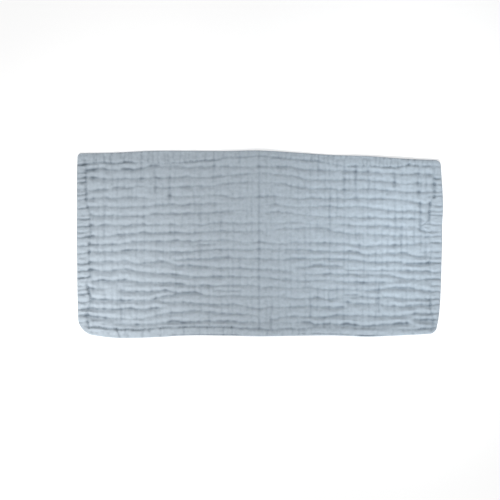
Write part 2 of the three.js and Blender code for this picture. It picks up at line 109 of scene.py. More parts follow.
# The long creases between the ribs, from the top of the cloth to the bottom. Each is the points that it
# runs through: X, Y and, where it isn't 1, how deep it is there.
CREASES = [
    [(-244, 99.5, 1.6), (-240, 101, 2.3), (-235, 101.5, 2.2), (-230, 102.5, 2.3), (-226, 102.7, 2.1),
     (-223, 103.5, 0.9), (-218, 104, 1.3), (-215, 103, 1.7), (-212, 101.5, 1.7), (-205, 102, 1.6),
     (-200, 101.5, 1.6), (-195, 101, 1.2), (-190, 103, 1.6), (-183, 103, 2.1), (-175, 102, 1.6),
     (-171, 102.6, 1.2), (-165, 104, 1.6), (-160, 104, 0.9), (-157, 106, 1.2), (-152, 107.5, 1.5),
     (-145, 108, 1.5), (-140, 108, 1.9), (-136, 106, 0.9), (-131, 107, 0.9), (-125, 106.5, 1.5),
     (-120, 106.5), (-113, 107, 1.3), (-107, 105.5, 1.1), (-100, 105), (-90, 105.5), (-82, 106, 1.1),
     (-75, 105.5), (-63, 107.5, 1.5), (-57, 106.5, 0.8), (-48, 107, 1.3), (-40, 106), (-31, 106, 1.8),
     (-25, 105.7), (-12, 106), (0, 107, 1.3), (9, 106.5, 0.9), (15, 106.5, 0.6), (19, 107.5, 1.2),
     (24, 106.5, 1.7), (33, 106, 1.6), (40, 106.5, 1.4), (47, 105.5), (58, 102.7, 1.4), (65, 102, 0.7),
     (73, 102, 1.3), (78, 101.5, 0.8), (84, 101.7, 1.3), (90, 101), (98, 101, 1.3), (106, 101, 0.9),
     (112, 101, 0.7), (118, 100.5, 1.8), (125, 100), (133, 99.5, 2), (139, 99.5), (145, 99.5, 1.7),
     (150, 100, 1.4), (155, 99, 0.8), (163, 98, 1.5), (171, 97, 0.6), (178, 97, 0.6), (184, 96.5, 1.6),
     (190, 96), (205, 96.5), (213, 96.5, 1.2), (218, 96.5, 1.9), (223, 96, 0.9), (228, 96, 1.2),
     (233, 96, 1.7), (239, 96, 1.6), (242, 96, 0.6)],
    [(-241, 92.5, 2.2), (-237, 91.5, 0.8), (-231, 91, 2.3), (-227, 91, 1.8), (-223, 90.5, 0.8),
     (-216, 89, 1.7), (-208, 89.5, 0.9), (-200, 89, 1.1), (-190, 90, 1.1), (-180, 89.5, 1.1),
     (-170, 90, 1.1), (-164, 90, 1.5), (-158, 90), (-150, 90), (-145, 91, 1.4), (-139, 90, 1.9),
     (-133, 91, 0.8), (-124, 91, 1.2), (-110, 91.5, 0.9), (-100, 93.5, 1.5), (-95, 92, 1.1),
     (-86, 91.5, 0.7), (-72, 91.5, 0.7), (-64, 92, 1.4), (-58, 93.5), (-50, 94, 1.1), (-40, 94.5, 1.1),
     (-30, 95.5, 1.1), (-20, 96, 1.1), (-14, 97), (-8, 97, 0.5), (0, 97, 0.6), (8, 97.5, 0.9),
     (15, 97, 0.5), (22, 96, 1.1), (28, 95.5, 0.5), (33, 95, 1.2), (45, 93.5), (50, 93), (57, 91, 1.5),
     (62, 89, 1.1), (72, 88), (85, 88, 1.2), (95, 88), (105, 88, 0.9), (112, 88, 0.7), (118, 88, 1.7),
     (124, 88.5, 0.9), (132, 89), (140, 89, 1.3), (150, 88), (160, 87, 0.9), (168, 87, 1.1),
     (173, 85.5, 1.4), (180, 85.3, 0.9), (186, 84, 1.8), (192, 83, 0.8), (200, 82.5, 0.6), (210, 83, 0.7),
     (219, 83.5, 1.7), (226, 83, 0.7), (233, 82, 1.3), (238, 82, 0.9), (242, 82, 2), (249, 83, 1.3)],
    [(-240, 73, 0.7), (-232, 73.5), (-225, 74, 1.3), (-217, 75, 1.6), (-212, 75, 1.1), (-206, 76, 0.5),
     (-199, 78, 1.6), (-190, 77.5, 1.3), (-180, 77, 1.4), (-176, 77.5, 0.8), (-170, 80, 0.6),
     (-160, 80, 0.7), (-155, 77, 0.6), (-148, 77, 0.5), (-145, 77.5, 1.1), (-135, 77, 0.8), (-125, 77, 1.2),
     (-118, 77.5), (-110, 79, 1.1), (-104, 79, 1.6), (-95, 78, 1.2), (-86, 80.5, 0.9), (-80, 79, 1.7),
     (-72, 79, 1.1), (-64, 79.5), (-57, 81.5), (-50, 83, 1.2), (-40, 84, 1.1), (-30, 84, 1.1),
     (-20, 85, 1.2), (-14, 85.5, 0.6), (-5, 85, 0.3), (8, 84, 0.4), (20, 84, 0.6), (25, 83.5, 0.9),
     (30, 83), (36, 82.5), (42, 80), (50, 78.5, 1.1), (57, 78, 1.5), (62, 77.3, 0.9), (68, 76, 0.9),
     (74, 75.5, 1.7), (79, 76), (85, 76, 1.5), (90, 76, 1.2), (95, 76, 1.7), (100, 76, 1.1),
     (108, 74.5, 0.9), (117, 74.5, 1.9), (122, 75.3, 0.9), (135, 75), (150, 75.3), (165, 75, 1.1),
     (170, 75), (175, 73.5, 1.3), (180, 73, 1.6), (187, 72.5, 1.2), (195, 72), (205, 71, 1.1), (214, 71),
     (220, 71, 1.9), (226, 71.3, 0.7), (235, 71.5, 1.5), (240, 72, 0.8), (243, 72.5, 1.6), (248, 71)],
    [(-241, 61.5, 2), (-238, 62, 0.9), (-234, 62, 1.6), (-229, 62, 1.4), (-224, 62, 0.9), (-217, 63),
     (-212, 64, 1.5), (-206, 61.7), (-198, 62), (-190, 64), (-180, 64, 1.2), (-172, 64.5, 0.9),
     (-163, 64, 1.2), (-157, 62.5, 0.6), (-150, 61.5, 0.5), (-140, 62.5, 0.3), (-130, 65, 0.5),
     (-125, 66.3, 1.3), (-119, 65, 0.8), (-108, 65, 0.5), (-95, 65.5, 0.5), (-86, 66, 0.7),
     (-75, 66.5, 0.5), (-63, 67, 0.9), (-55, 66.5, 0.8), (-50, 66, 1.6), (-45, 65.5, 1.6), (-40, 63.5, 1.2),
     (-34, 62.5, 1.4), (-28, 63.5, 0.9), (-15, 64.5, 0.9), (-7, 65, 0.9), (0, 65, 1.4), (8, 65.5, 1.3),
     (15, 65.5, 1.3), (20, 65, 1.6), (25, 65.3, 0.8), (33, 65, 0.6), (40, 64, 0.8), (50, 62.5, 1.2),
     (56, 61.5, 1.2), (63, 62, 0.9), (70, 63.5, 0.9), (74, 64, 1.6), (79, 63.5, 1.1), (84, 63, 1.6),
     (90, 62), (97, 62, 1.4), (105, 63), (115, 62), (122, 61.5, 0.8), (128, 62.5, 1.3), (133, 63.5, 1.7),
     (140, 63, 1.1), (147, 62.5), (152, 62, 0.9), (160, 62.5, 1.5), (167, 62.5, 1.1), (174, 62, 1.2),
     (182, 61.5, 1.1), (190, 60.5, 0.7), (200, 60, 0.9), (210, 58.5), (215, 57, 1.1), (222, 55, 1.8),
     (229, 54.5, 0.9), (236, 55, 1.5), (243, 53, 0.9), (250, 53)],
    [(-240, 50.5, 2.1), (-234, 51, 1.6), (-229, 51, 1.3), (-220, 51, 0.8), (-213, 51, 1.2),
     (-206, 50.7, 0.8), (-200, 50.5, 1.3), (-190, 49.7, 0.9), (-180, 51, 0.9), (-170, 51, 0.8),
     (-160, 50.5, 1.5), (-154, 52, 0.8), (-147, 53), (-140, 53.5), (-130, 53.7, 0.8), (-125, 54.5, 1.6),
     (-119, 54.5, 1.5), (-113, 54), (-105, 52.7), (-97, 55, 1.6), (-90, 54.5, 1.3), (-84, 54.5, 1.4),
     (-78, 54, 0.9), (-70, 56, 1.2), (-62, 55.7, 1.1), (-55, 56, 0.5), (-40, 55.5, 0.3), (0, 53, 0.2),
     (16, 54, 0.4), (22, 55, 1.2), (28, 53, 0.7), (40, 51.5, 0.8), (50, 50.5, 0.8), (65, 51, 0.8),
     (80, 52, 0.8), (90, 52, 1.1), (97, 51.5, 1.6), (103, 51, 1.2), (112, 50.3), (125, 50.7, 0.9),
     (140, 51), (150, 50.3), (157, 48.5), (163, 47.7, 1.2), (170, 47.3, 0.9), (178, 46, 1.4),
     (184, 46, 0.8), (190, 44.7, 1.1), (195, 44, 1.5), (201, 44.7), (206, 45.5, 1.5), (212, 45, 1.3),
     (217, 44.3, 0.9), (222, 43.5, 1.7), (228, 43), (232, 43.5, 0.9), (238, 44, 0.7), (247, 46, 0.6)],
    [(-240, 40, 0.7), (-234, 41, 1.1), (-230, 38.5, 1.2), (-227, 38, 1.6), (-221, 38), (-215, 38.5, 1.4),
     (-205, 39, 1.1), (-195, 38.5, 0.9), (-187, 38, 1.1), (-180, 38, 1.4), (-170, 38.5, 1.1), (-165, 38),
     (-160, 37.7, 1.5), (-155, 38.5, 0.8), (-150, 40.5), (-145, 41.5, 1.3), (-138, 41.5, 1.1), (-130, 41.5),
     (-125, 42, 1.2), (-117, 41, 1.5), (-111, 41.3, 0.9), (-106, 41.7, 1.2), (-101, 42, 1.6), (-95, 42),
     (-88, 41.3), (-78, 42, 1.2), (-68, 42.3, 1.1), (-60, 43.5, 1.4), (-52, 43.5, 1.5), (-45, 44.5, 1.3),
     (-40, 44.5, 1.4), (-35, 45.5, 0.5), (-20, 46, 0.4), (-10, 45, 0.4), (0, 44, 0.4), (8, 43, 0.8),
     (15, 43.5), (21, 44, 1.3), (28, 44), (36, 43, 0.9), (45, 41.5, 0.8), (55, 41, 0.7), (65, 39.5, 0.7),
     (73, 38, 1.2), (80, 38), (88, 37, 0.8), (97, 36.5, 1.5), (103, 37.3, 0.8), (112, 37.5, 0.9),
     (120, 36, 0.9), (130, 37), (140, 36), (147, 35.7, 1.2), (152, 36.5, 1.7), (156, 36.5, 1.1),
     (160, 36.8, 1.9), (165, 35.3, 1.1), (171, 35, 0.9), (177, 35.5, 1.5), (182, 34, 0.8), (186, 34, 1.6),
     (190, 34.3, 1.1), (195, 35, 1.5), (202, 34.7, 1.5), (208, 34.5, 1.8), (215, 34, 1.6), (219, 33.5, 0.9),
     (223, 33, 1.2), (228, 32, 0.5)],
    [(-240, 24.5, 1.1), (-235, 26, 1.5), (-230, 24.5), (-223, 24.5, 1.1), (-216, 26, 1.5),
     (-210, 26.5, 1.5), (-204, 26, 1.1), (-199, 24.5, 1.1), (-193, 25, 1.2), (-186, 24.5),
     (-178, 25.5, 1.6), (-170, 26), (-163, 27, 1.5), (-157, 26, 1.3), (-150, 26), (-142, 26.5),
     (-134, 27, 0.5), (-127, 26.5, 0.6), (-122, 27.5, 1.5), (-118, 25.5), (-110, 26, 0.6), (-97, 27, 0.8),
     (-90, 26.7), (-78, 25, 0.9), (-72, 26.5, 0.7), (-67, 29, 1.2), (-60, 28.3), (-52, 29, 1.1),
     (-45, 28.5, 1.3), (-39, 28.7, 1.1), (-32, 28, 0.9), (-20, 28, 1.3), (-13, 28.5, 1.1), (-5, 29, 0.6),
     (0, 29, 0.9), (8, 28.5, 0.5), (25, 28.5, 0.4), (40, 29, 0.6), (50, 30, 0.6), (62, 28.5, 0.4),
     (77, 26, 0.7), (86, 26, 0.5), (95, 27, 0.8), (107, 27), (115, 26.7, 1.1), (122, 27, 0.9),
     (128, 24.7, 1.1), (135, 24.5), (141, 25, 1.2), (150, 24.5, 1.4), (160, 24.5, 1.2), (168, 24.7, 1.5),
     (172, 24, 2), (178, 23.8, 1.9), (183, 23, 1.1), (189, 23, 1.1), (196, 22, 1.6), (201, 22.7, 0.5),
     (208, 23), (215, 23, 0.9), (219, 21, 0.8), (223, 18.5, 1.4), (228, 16.5), (235, 17.5, 1.5),
     (243, 17.5), (250, 17)],
    [(-241, 9.5, 1.6), (-236, 10.5, 2.3), (-231, 10.5, 1.8), (-227, 10), (-215, 10, 1.1), (-205, 10.5),
     (-197, 12, 1.1), (-190, 12, 1.9), (-185, 13, 1.1), (-180, 13.5, 1.5), (-175, 13, 1.1), (-168, 14, 1.2),
     (-162, 15.5, 1.8), (-156, 15, 1.5), (-148, 13.5, 1.3), (-140, 14.5, 1.2), (-135, 15.5, 1.6),
     (-128, 14.5), (-122, 15.5, 1.6), (-115, 15.5, 1.8), (-108, 15, 1.2), (-100, 14.5, 1.2), (-93, 14.5),
     (-86, 15, 1.4), (-80, 15.5, 1.1), (-70, 16.5), (-60, 17, 1.1), (-50, 18, 1.6), (-44, 17), (-30, 17),
     (-20, 16.5, 0.8), (-8, 16.5, 0.6), (0, 17.5, 1.2), (8, 17, 0.5), (18, 17.5, 0.4), (28, 20.5, 0.6),
     (36, 22), (44, 20, 0.8), (52, 20.5, 0.9), (60, 21.5, 1.2), (66, 21.5), (74, 22, 1.1), (85, 21.7, 1.3),
     (91, 21.5, 0.9), (95, 20, 1.4), (100, 18, 0.8), (105, 16.3, 1.1), (110, 16, 1.7), (114, 15.3, 1.2),
     (118, 14), (123, 14, 1.5), (130, 13), (137, 14, 1.1), (150, 13.5, 0.6), (160, 12.5, 0.7), (167, 12),
     (173, 12, 1.4), (179, 11.5, 0.7), (186, 10.5, 0.9), (191, 9.7), (195, 10, 1.8), (200, 10.5, 0.9),
     (210, 10, 0.9), (216, 10), (222, 10.5, 1.6), (226, 9.5, 1.2), (231, 8.5, 1.6), (237, 9.7, 1.2),
     (243, 11, 0.9), (250, 11)],
    [(-240, -3, 1.2), (-236, 0, 1.2), (-230, -2.5, 1.4), (-220, -2), (-210, -1), (-203, -0.5, 1.4),
     (-197, -1, 0.9), (-190, 0, 1.2), (-182, 0.5, 1.1), (-178, 2, 1.1), (-170, 2, 1.2), (-165, 2.5, 1.1),
     (-155, 3.5, 1.2), (-148, 3.5), (-138, 3, 1.4), (-130, 3), (-121, 4, 1.2), (-113, 4.5, 1.6), (-106, 3),
     (-99, 3.5, 1.5), (-90, 3, 1.1), (-84, 3.5, 1.4), (-76, 3.5), (-70, 4), (-62, 3.5, 0.6), (-55, 5),
     (-50, 5, 1.2), (-43, 4.5, 0.8), (-35, 3, 0.6), (-25, 2, 0.5), (-13, 1.5, 0.6), (-1, 2.5),
     (9, 1.5, 1.3), (15, 0.7, 0.8), (23, 0, 0.8), (35, -1, 0.8), (42, 0, 0.7), (50, 2.5, 1.2),
     (56, 1.5, 0.9), (62, 1, 1.4), (68, 0.5), (75, 1, 1.1), (83, 1, 1.5), (90, 1, 1.6), (96, 1, 1.6),
     (101, 0.5, 0.9), (110, 1), (118, 0, 0.9), (125, -1, 0.9), (133, -2, 1.1), (138, -2.5, 2), (143, -4),
     (150, -4, 0.9), (156, -3.3, 1.6), (160, -3, 0.9), (166, -2, 1.4), (172, -2), (180, -2.5),
     (187, -2.5, 1.8), (192, -2), (203, -1.5, 0.9), (210, -2, 1.3), (214, -0.5), (222, 1, 0.9),
     (231, 1.5, 0.9), (240, 1.5), (248, 1.7, 1.4)],
    [(-95, -2, 0.4), (-85, -2, 0.9), (-75, -1.5, 0.9), (-65, -1, 0.7), (-58, -1, 0.3)],
    [(-240, -12, 1.1), (-236, -11.5, 1.6), (-231, -12), (-227, -11.5, 1.5), (-220, -12), (-210, -11.5, 1.1),
     (-200, -11.5, 1.1), (-192, -10.5), (-186, -9, 1.3), (-182, -9, 2.2), (-177, -9.3, 1.2),
     (-170, -9, 1.1), (-160, -9.5, 1.1), (-150, -10), (-144, -11), (-138, -11.5, 1.8), (-133, -12, 0.9),
     (-127, -12.3), (-120, -11.5, 1.4), (-110, -12.5, 1.6), (-104, -12), (-97, -12, 1.1), (-88, -10.5, 1.1),
     (-78, -9.5), (-70, -9, 0.9), (-60, -8), (-50, -8, 1.4), (-40, -8), (-30, -8, 1.1), (-20, -8.5, 1.1),
     (-14, -9, 1.3), (-8, -8, 1.1), (-1, -7.3, 1.5), (5, -7.5), (20, -8.5, 0.9), (30, -8, 0.9), (42, -8.5),
     (50, -8.5, 1.3), (58, -8.5, 1.3), (63, -8.5, 0.9), (70, -9.5, 1.5), (77, -11), (84, -10.5, 1.5),
     (92, -10.5), (100, -11), (112, -11), (119, -11, 1.2), (124, -10.5, 1.8), (129, -11.3, 1.3),
     (134, -12.3, 1.2), (138, -13, 1.7), (143, -14.7, 0.9), (150, -15.3, 1.1), (154, -15.5, 1.5),
     (160, -14, 1.1), (166, -15), (172, -14.5, 0.7), (178, -12.5, 0.8), (184, -14, 1.5), (190, -13.5, 1.1),
     (196, -13.2, 1.5), (202, -13.3, 1.3), (207, -14.7, 0.9), (213, -17, 0.9), (218, -18.3, 1.1),
     (224, -18.7, 1.5), (230, -18.7), (238, -19.3, 0.9), (245, -19.3, 1.1), (250, -18.8, 1.3)],
    [(216, -13, 0.4), (225, -12, 0.6), (230, -12, 1.1), (236, -11), (243, -11, 0.9), (251, -11, 0.9)],
    [(-240, -26.5, 1.3), (-236, -26, 1.8), (-231, -26, 1.1), (-225, -26), (-217, -26, 1.1),
     (-210, -25, 1.5), (-204, -25.5, 1.1), (-199, -26, 0.9), (-194, -25, 0.5), (-188, -23.7, 0.8),
     (-183, -24.3, 1.4), (-179, -26, 0.9), (-174, -27.5), (-167, -28, 1.1), (-160, -27.5, 1.5),
     (-154, -27, 1.1), (-149, -26), (-143, -25, 1.2), (-138, -24.5, 1.5), (-131, -25, 1.1), (-126, -27),
     (-120, -28.5, 1.2), (-116, -30.5, 1.5), (-111, -31, 1.6), (-107, -30.5, 1.3), (-102, -30, 0.7),
     (-97, -30.5, 1.5), (-90, -31, 1.1), (-85, -32, 1.3), (-78, -32, 1.2), (-71, -32, 1.3),
     (-66, -32.5, 0.5), (-57, -33.5, 0.9), (-50, -34, 1.2), (-42, -33.3, 0.9), (-34, -34), (-27, -34, 1.5),
     (-20, -34, 1.1), (-12, -36), (-1, -35, 1.3), (8, -35), (15, -36), (25, -37, 1.1), (32, -38, 1.3),
     (40, -38, 1.1), (46, -38, 0.6)],
    [(-165, -22.5, 0.3), (-157, -22.6, 0.6), (-150, -23.5, 0.4)],
    [(-122, -24, 0.4), (-112, -23, 0.9), (-107, -22.7, 1.1), (-100, -22, 1.2), (-90, -22, 1.2),
     (-80, -21.7, 1.2), (-72, -21.5, 1.1), (-66, -20.5, 1.5), (-60, -19.5, 2.1), (-55, -19.3, 1.6),
     (-47, -19, 1.5), (-40, -19.3), (-28, -20), (-20, -20.5), (-10, -21), (-1, -21, 1.3), (8, -21.5, 1.4),
     (15, -21.5, 1.1), (25, -22, 1.2), (32, -22.5, 0.9), (40, -21.5, 1.4), (46, -20.7, 1.6),
     (52, -20.5, 1.6), (60, -20, 1.6), (68, -20.5, 1.1), (76, -21, 1.1), (85, -21, 1.2), (91, -21),
     (97, -22, 1.3), (105, -21.5, 1.5), (112, -21.5, 1.6), (119, -22, 1.1), (128, -23.5, 1.3), (134, -23),
     (139, -23.3, 1.2), (145, -25, 1.1), (151, -25.5, 1.2), (160, -26, 1.1), (167, -27, 1.6),
     (173, -25.7, 1.1), (183, -26, 1.1), (190, -25.5, 1.1), (197, -26), (203, -27.5, 1.3),
     (210, -27.5, 1.6), (216, -28, 1.3), (222, -28.5, 2.2), (227, -28, 1.3), (234, -26.5, 2.2),
     (239, -26.7, 1.3), (244, -26.5, 1.6), (250, -26, 1.3)],
    [(50, -33, 0.8), (56, -33, 1.1), (61, -33, 1.5), (67, -32.5, 1.2), (72, -31, 1.5), (78, -29, 1.7),
     (85, -29, 2), (90, -30.3, 1.1), (97, -30.8, 1.1), (105, -31, 1.1), (111, -31, 1.1), (116, -31, 0.7)],
    [(116, -36, 0.3), (128, -37, 0.7), (134, -36.3, 0.7), (140, -36, 1.3), (147, -37.3, 0.9),
     (155, -37.7, 0.9), (162, -37.3, 0.9), (169, -36.5, 1.1), (178, -37.5, 0.7), (188, -36.7),
     (194, -38, 1.1), (200, -38, 1.1), (206, -37.5, 1.8), (211, -38), (218, -38.3, 1.5), (226, -38.3, 1.1),
     (235, -38.5, 1.7), (243, -39, 1.2), (251, -39, 1.5)],
    [(-240, -36.7, 1.4), (-236, -36, 2), (-231, -37, 1.5), (-226, -37.5, 1.3), (-220, -38, 0.8),
     (-213, -38.5), (-207, -38.3, 1.1), (-201, -37.7, 1.6), (-196, -36.5), (-190, -35.5), (-184, -36, 1.4),
     (-178, -37.3, 1.1), (-170, -39), (-160, -40), (-150, -41), (-140, -42, 1.3), (-130, -42, 1.1),
     (-122, -42.3, 2), (-117, -43.3, 1.7), (-105, -45, 1.5), (-97, -46, 1.1), (-88, -47, 1.4), (-78, -46.5),
     (-70, -46, 1.1), (-63, -46, 1.8), (-56, -46, 1.9), (-50, -46, 1.1), (-40, -45.5, 1.1), (-30, -46),
     (-12, -46), (-1, -46, 1.3), (8, -47), (15, -48), (25, -49, 1.1), (31, -49.5), (38, -49, 1.7),
     (45, -50, 0.9), (52, -50.7, 1.3), (60, -51.5, 0.9), (70, -51.5, 0.9), (80, -51, 0.8), (90, -51, 0.5),
     (100, -50.7, 0.7), (107, -52, 0.9), (115, -53, 1.5), (121, -54, 1.1), (127, -53), (133, -54, 1.7),
     (141, -54, 1.6), (150, -53.5, 1.4), (157, -54, 1.1), (165, -53.5, 1.1), (173, -54, 1.4),
     (178, -54, 0.5), (188, -54.5, 0.3)],
    [(50, -41, 0.3), (62, -42, 0.6), (75, -42, 0.7), (84, -42), (91, -42, 1.5), (98, -42, 1.5),
     (105, -42.5, 1.1), (113, -43), (120, -43.5, 1.3), (128, -42, 0.9), (136, -43.5), (150, -43, 0.8),
     (162, -43, 0.8), (171, -43.5, 1.1), (178, -43.2), (185, -45), (190, -47, 1.1), (197, -48, 1.1),
     (205, -49.5), (214, -50, 1.1), (225, -50), (235, -50, 1.4), (241, -49, 1.2), (246, -48.5, 1.6),
     (251, -48.5, 1.3)],
    [(-236, -52, 0.5), (-231, -52, 0.9), (-225, -52, 1.5), (-218, -50.7, 2), (-212, -51.5, 1.5),
     (-205, -52, 1.4), (-197, -51.5, 1.5), (-193, -51.3, 0.9), (-187, -49.5, 1.6), (-182, -52), (-175, -53),
     (-165, -54.5, 1.4), (-158, -54), (-150, -54), (-140, -55, 1.1), (-130, -55, 1.3), (-121, -55, 1.1),
     (-115, -55.5, 1.9), (-109, -55.7, 1.9), (-104, -57, 1.1), (-98, -58.2, 0.7), (-92, -58.5, 1.5),
     (-86, -58.3), (-78, -58, 1.4), (-73, -58.5, 1.5), (-62, -59), (-50, -58, 1.1), (-40, -58),
     (-30, -58, 1.4), (-25, -57.2), (-12, -57.5, 0.8), (-4, -59, 0.9), (5, -61), (12, -60, 1.3), (20, -60),
     (30, -61, 0.8), (50, -62, 0.7), (65, -60.5, 0.9), (75, -61.3, 0.7), (82, -63), (95, -63.7, 0.8),
     (101, -64, 1.2), (110, -63.3, 0.9), (130, -63.7, 0.8), (145, -65, 0.9), (155, -64.7),
     (165, -64.3, 1.6), (172, -62.3, 0.9), (180, -61.5, 1.2), (190, -61, 1.5), (200, -61.5, 1.6),
     (207, -61.7, 1.5), (213, -62, 1.1), (220, -63.5), (228, -65.5, 1.2), (235, -65.7, 1.7),
     (241, -67, 0.9), (249, -67, 1.3)],
    [(-244, -60.5, 0.8), (-238, -61.5, 1.7), (-231, -62.3, 1.6), (-226, -62.3, 0.8), (-218, -62.5, 0.6),
     (-208, -63, 0.3)],
    [(-196, -65, 0.5), (-190, -66), (-183, -66.5, 1.1), (-175, -67, 1.5), (-165, -67, 1.6),
     (-155, -67, 1.5), (-147, -66.5, 1.2), (-140, -66, 1.5), (-131, -65, 2), (-126, -65.7, 1.2),
     (-119, -68, 1.1), (-111, -69, 1.1), (-103, -68, 1.6), (-95, -67.5, 2), (-88, -68, 1.6),
     (-84, -69, 1.1), (-79, -71, 1.1), (-70, -71.7, 0.8), (-60, -72.7, 0.9), (-52, -73), (-44, -72.3),
     (-35, -71.5, 1.4), (-25, -72.5), (-15, -73, 1.4), (-8, -73), (0, -73, 1.1), (10, -73, 0.9),
     (20, -73, 0.9), (30, -73.5, 0.6), (40, -74.5, 0.8), (47, -76.5, 1.1), (60, -76), (70, -76),
     (80, -74.3, 1.6), (86, -75.7), (92, -77, 0.9), (100, -77, 1.2), (108, -76, 0.5), (125, -75, 0.4),
     (138, -74, 0.8), (145, -74, 1.1), (155, -75), (163, -76, 1.4), (170, -75), (177, -74, 1.1), (185, -75),
     (193, -76, 1.1), (200, -77.5), (207, -77), (213, -77.3), (218, -77.5, 1.5), (225, -77),
     (234, -78, 1.6), (243, -77, 1.4), (249, -77, 1.1)],
    [(112, -72, 0.4), (118, -71.5, 0.9), (125, -71, 0.8), (133, -71, 1.2), (139, -71.5, 0.5)],
    [(-64, -64.5, 0.4), (-55, -65, 0.8), (-45, -66, 0.8), (-36, -66), (-27, -66, 0.7), (-20, -66, 0.4)],
    [(-244, -79, 0.7), (-240, -77.3), (-235, -77.5, 1.5), (-228, -77.5, 1.9), (-222, -78, 1.4),
     (-216, -77.5, 2), (-210, -78, 1.2), (-203, -78.5, 1.1), (-196, -79, 1.1), (-190, -79, 2),
     (-183, -79, 2), (-178, -78.5, 1.2), (-170, -79, 1.1), (-160, -79.5, 1.5), (-153, -79, 1.2),
     (-147, -77.5, 1.6), (-141, -75, 1.5), (-131, -73.5, 1.5), (-122, -72.5, 1.2), (-115, -70.7, 1.4),
     (-108, -69.7)],
    [(-142, -79.5, 0.6), (-137, -80.5), (-126, -82, 1.1), (-116, -82, 1.1), (-106, -81, 1.1),
     (-96, -82.5, 1.3), (-86, -84, 1.3), (-76, -83.5), (-68, -84.5, 1.5), (-60, -85, 1.6), (-52, -84, 1.6),
     (-45, -85, 1.1), (-36, -83.5, 1.6), (-29, -84.5, 1.1), (-22, -87, 0.8), (-13, -88.5, 1.4),
     (-6, -89.5, 1.3), (0, -90, 1.1), (10, -88), (20, -87.5), (28, -88.5, 0.9), (40, -88, 1.1),
     (50, -87.5, 1.5), (60, -87, 1.2), (70, -86, 1.5), (78, -88), (88, -88.5, 1.1), (97, -87.5, 1.7),
     (102, -88.5, 1.1), (109, -88.5, 1.7), (116, -88.5, 1.5), (121, -88.5, 0.7)],
    [(114, -81, 0.6), (120, -81, 1.2), (130, -82.3, 1.1), (142, -84, 1.4), (151, -84), (163, -82.5, 0.6),
     (172, -85.5, 0.8), (178, -87), (185, -86.5, 1.3), (192, -87, 1.2), (200, -88), (204, -87, 1.4),
     (208, -86.5, 2.2), (213, -86, 1.4), (218, -85.5, 2.1), (225, -84.7, 1.6), (231, -86, 1.6),
     (236, -86, 2.2), (243, -84, 1.7), (249, -84, 1.3)],
    [(-246, -90, 2.1), (-240, -89.5, 2), (-237, -89.7, 1.3), (-232, -90, 2.1), (-227, -90.5, 1.3),
     (-221, -91, 1.6), (-210, -91.5, 1.5), (-200, -92, 1.5), (-190, -91, 1.4), (-185, -90.5),
     (-180, -90, 2.1), (-175, -90.7, 1.1), (-170, -91, 2.1), (-165, -91.5, 1.1), (-158, -92, 1.2),
     (-150, -90, 1.6), (-145, -89.5, 2), (-138, -89.5, 1.7), (-134, -89.5, 0.8)],
    [(-252, -99, 1.7), (-245, -98.5, 2.3), (-238, -99.5, 2.8), (-232, -101, 2.4), (-226, -101.7, 2.2),
     (-221, -102.2, 1.5), (-217, -102.5, 1.3), (-213, -103.3, 2.2), (-208, -103.5, 1.5), (-200, -104),
     (-190, -105, 0.7), (-178, -105, 0.7), (-168, -104.5, 0.8), (-160, -104), (-155, -102.7),
     (-148, -101, 1.1), (-140, -99.5, 1.1), (-131, -97.2, 1.1), (-123, -96, 1.7), (-115, -96, 1.3),
     (-105, -95, 1.1), (-96, -93.3, 1.2), (-88, -92.5), (-80, -93, 0.5), (-72, -95), (-64, -95.5, 2.1),
     (-58, -96.5, 1.3), (-50, -97, 1.6), (-42, -97.5, 1.7), (-34, -97, 1.5), (-25, -98, 1.3), (-18, -98),
     (-10, -98.5, 0.7), (0, -101, 0.2), (10, -104, 0.5), (15, -105), (20, -105, 1.5), (27, -103.5, 1.5),
     (33, -101.5, 1.3), (42, -101, 1.2), (48, -100.5, 1.5), (55, -101, 1.2), (62, -102, 1.5),
     (70, -101, 1.1), (76, -102, 1.2), (84, -102, 1.5), (91, -102, 1.5), (97, -101, 1.6), (103, -99.5, 1.6),
     (108, -98.5, 2.1), (113, -99.3, 1.3), (125, -99.5), (140, -99.5), (150, -100), (162, -101.5, 1.3),
     (169, -100.5, 1.1), (175, -101, 1.5), (183, -101, 1.1), (190, -101, 1.3), (200, -100.5, 1.5),
     (206, -99, 1.1), (212, -97.5, 1.6), (218, -97, 1.6), (225, -97.5, 1.1), (233, -98, 1.6),
     (238, -98, 1.5), (243, -96.5, 1.4), (248, -96, 1.2)],
    [(-200, -111.5, 0.5), (-190, -111.5, 1.2), (-181, -112), (-175, -112.5, 1.5), (-168, -112, 2),
     (-163, -112.5, 1.1), (-157, -112.5, 0.9), (-150, -111.5, 1.6), (-144, -111.5, 1.2), (-135, -110, 1.1),
     (-125, -109, 1.3), (-118, -108.3, 1.1), (-112, -109, 1.3), (-106, -109.7, 2.1), (-102, -108.7, 1.5),
     (-95, -109, 1.5), (-86, -108.5, 1.4), (-78, -107.5), (-70, -107, 1.2), (-62, -108, 1.1),
     (-54, -107.5, 1.7), (-48, -107.7, 1.7), (-40, -108, 2.1), (-34, -108.5, 2), (-29, -108.7, 1.2),
     (-24, -109.3, 1.5), (-19, -109.5, 1.5), (-12, -108.7, 0.9), (0, -110, 0.6), (8, -109, 0.5),
     (25, -110, 0.4), (45, -109.5, 0.5), (57, -109, 0.8), (62, -109, 1.7), (66, -109, 2.2),
     (70, -109.5, 2.1), (73, -112, 2.1), (78, -113, 1.6), (84, -112, 1.5), (90, -112, 1.6), (97, -111, 1.6),
     (103, -111.5, 1.5), (109, -113.3, 1.3), (114, -112.5, 2.3), (119, -110.7, 2.4), (124, -111.5, 2.2),
     (128, -112.5, 1.6), (132, -113, 2.4), (137, -113, 1.2), (143, -114.5, 1.6), (150, -115, 1.7),
     (157, -113.7, 1.6), (163, -113.5, 1.1), (170, -112, 2.1), (177, -112.5, 1.6), (183, -111.2, 1.3),
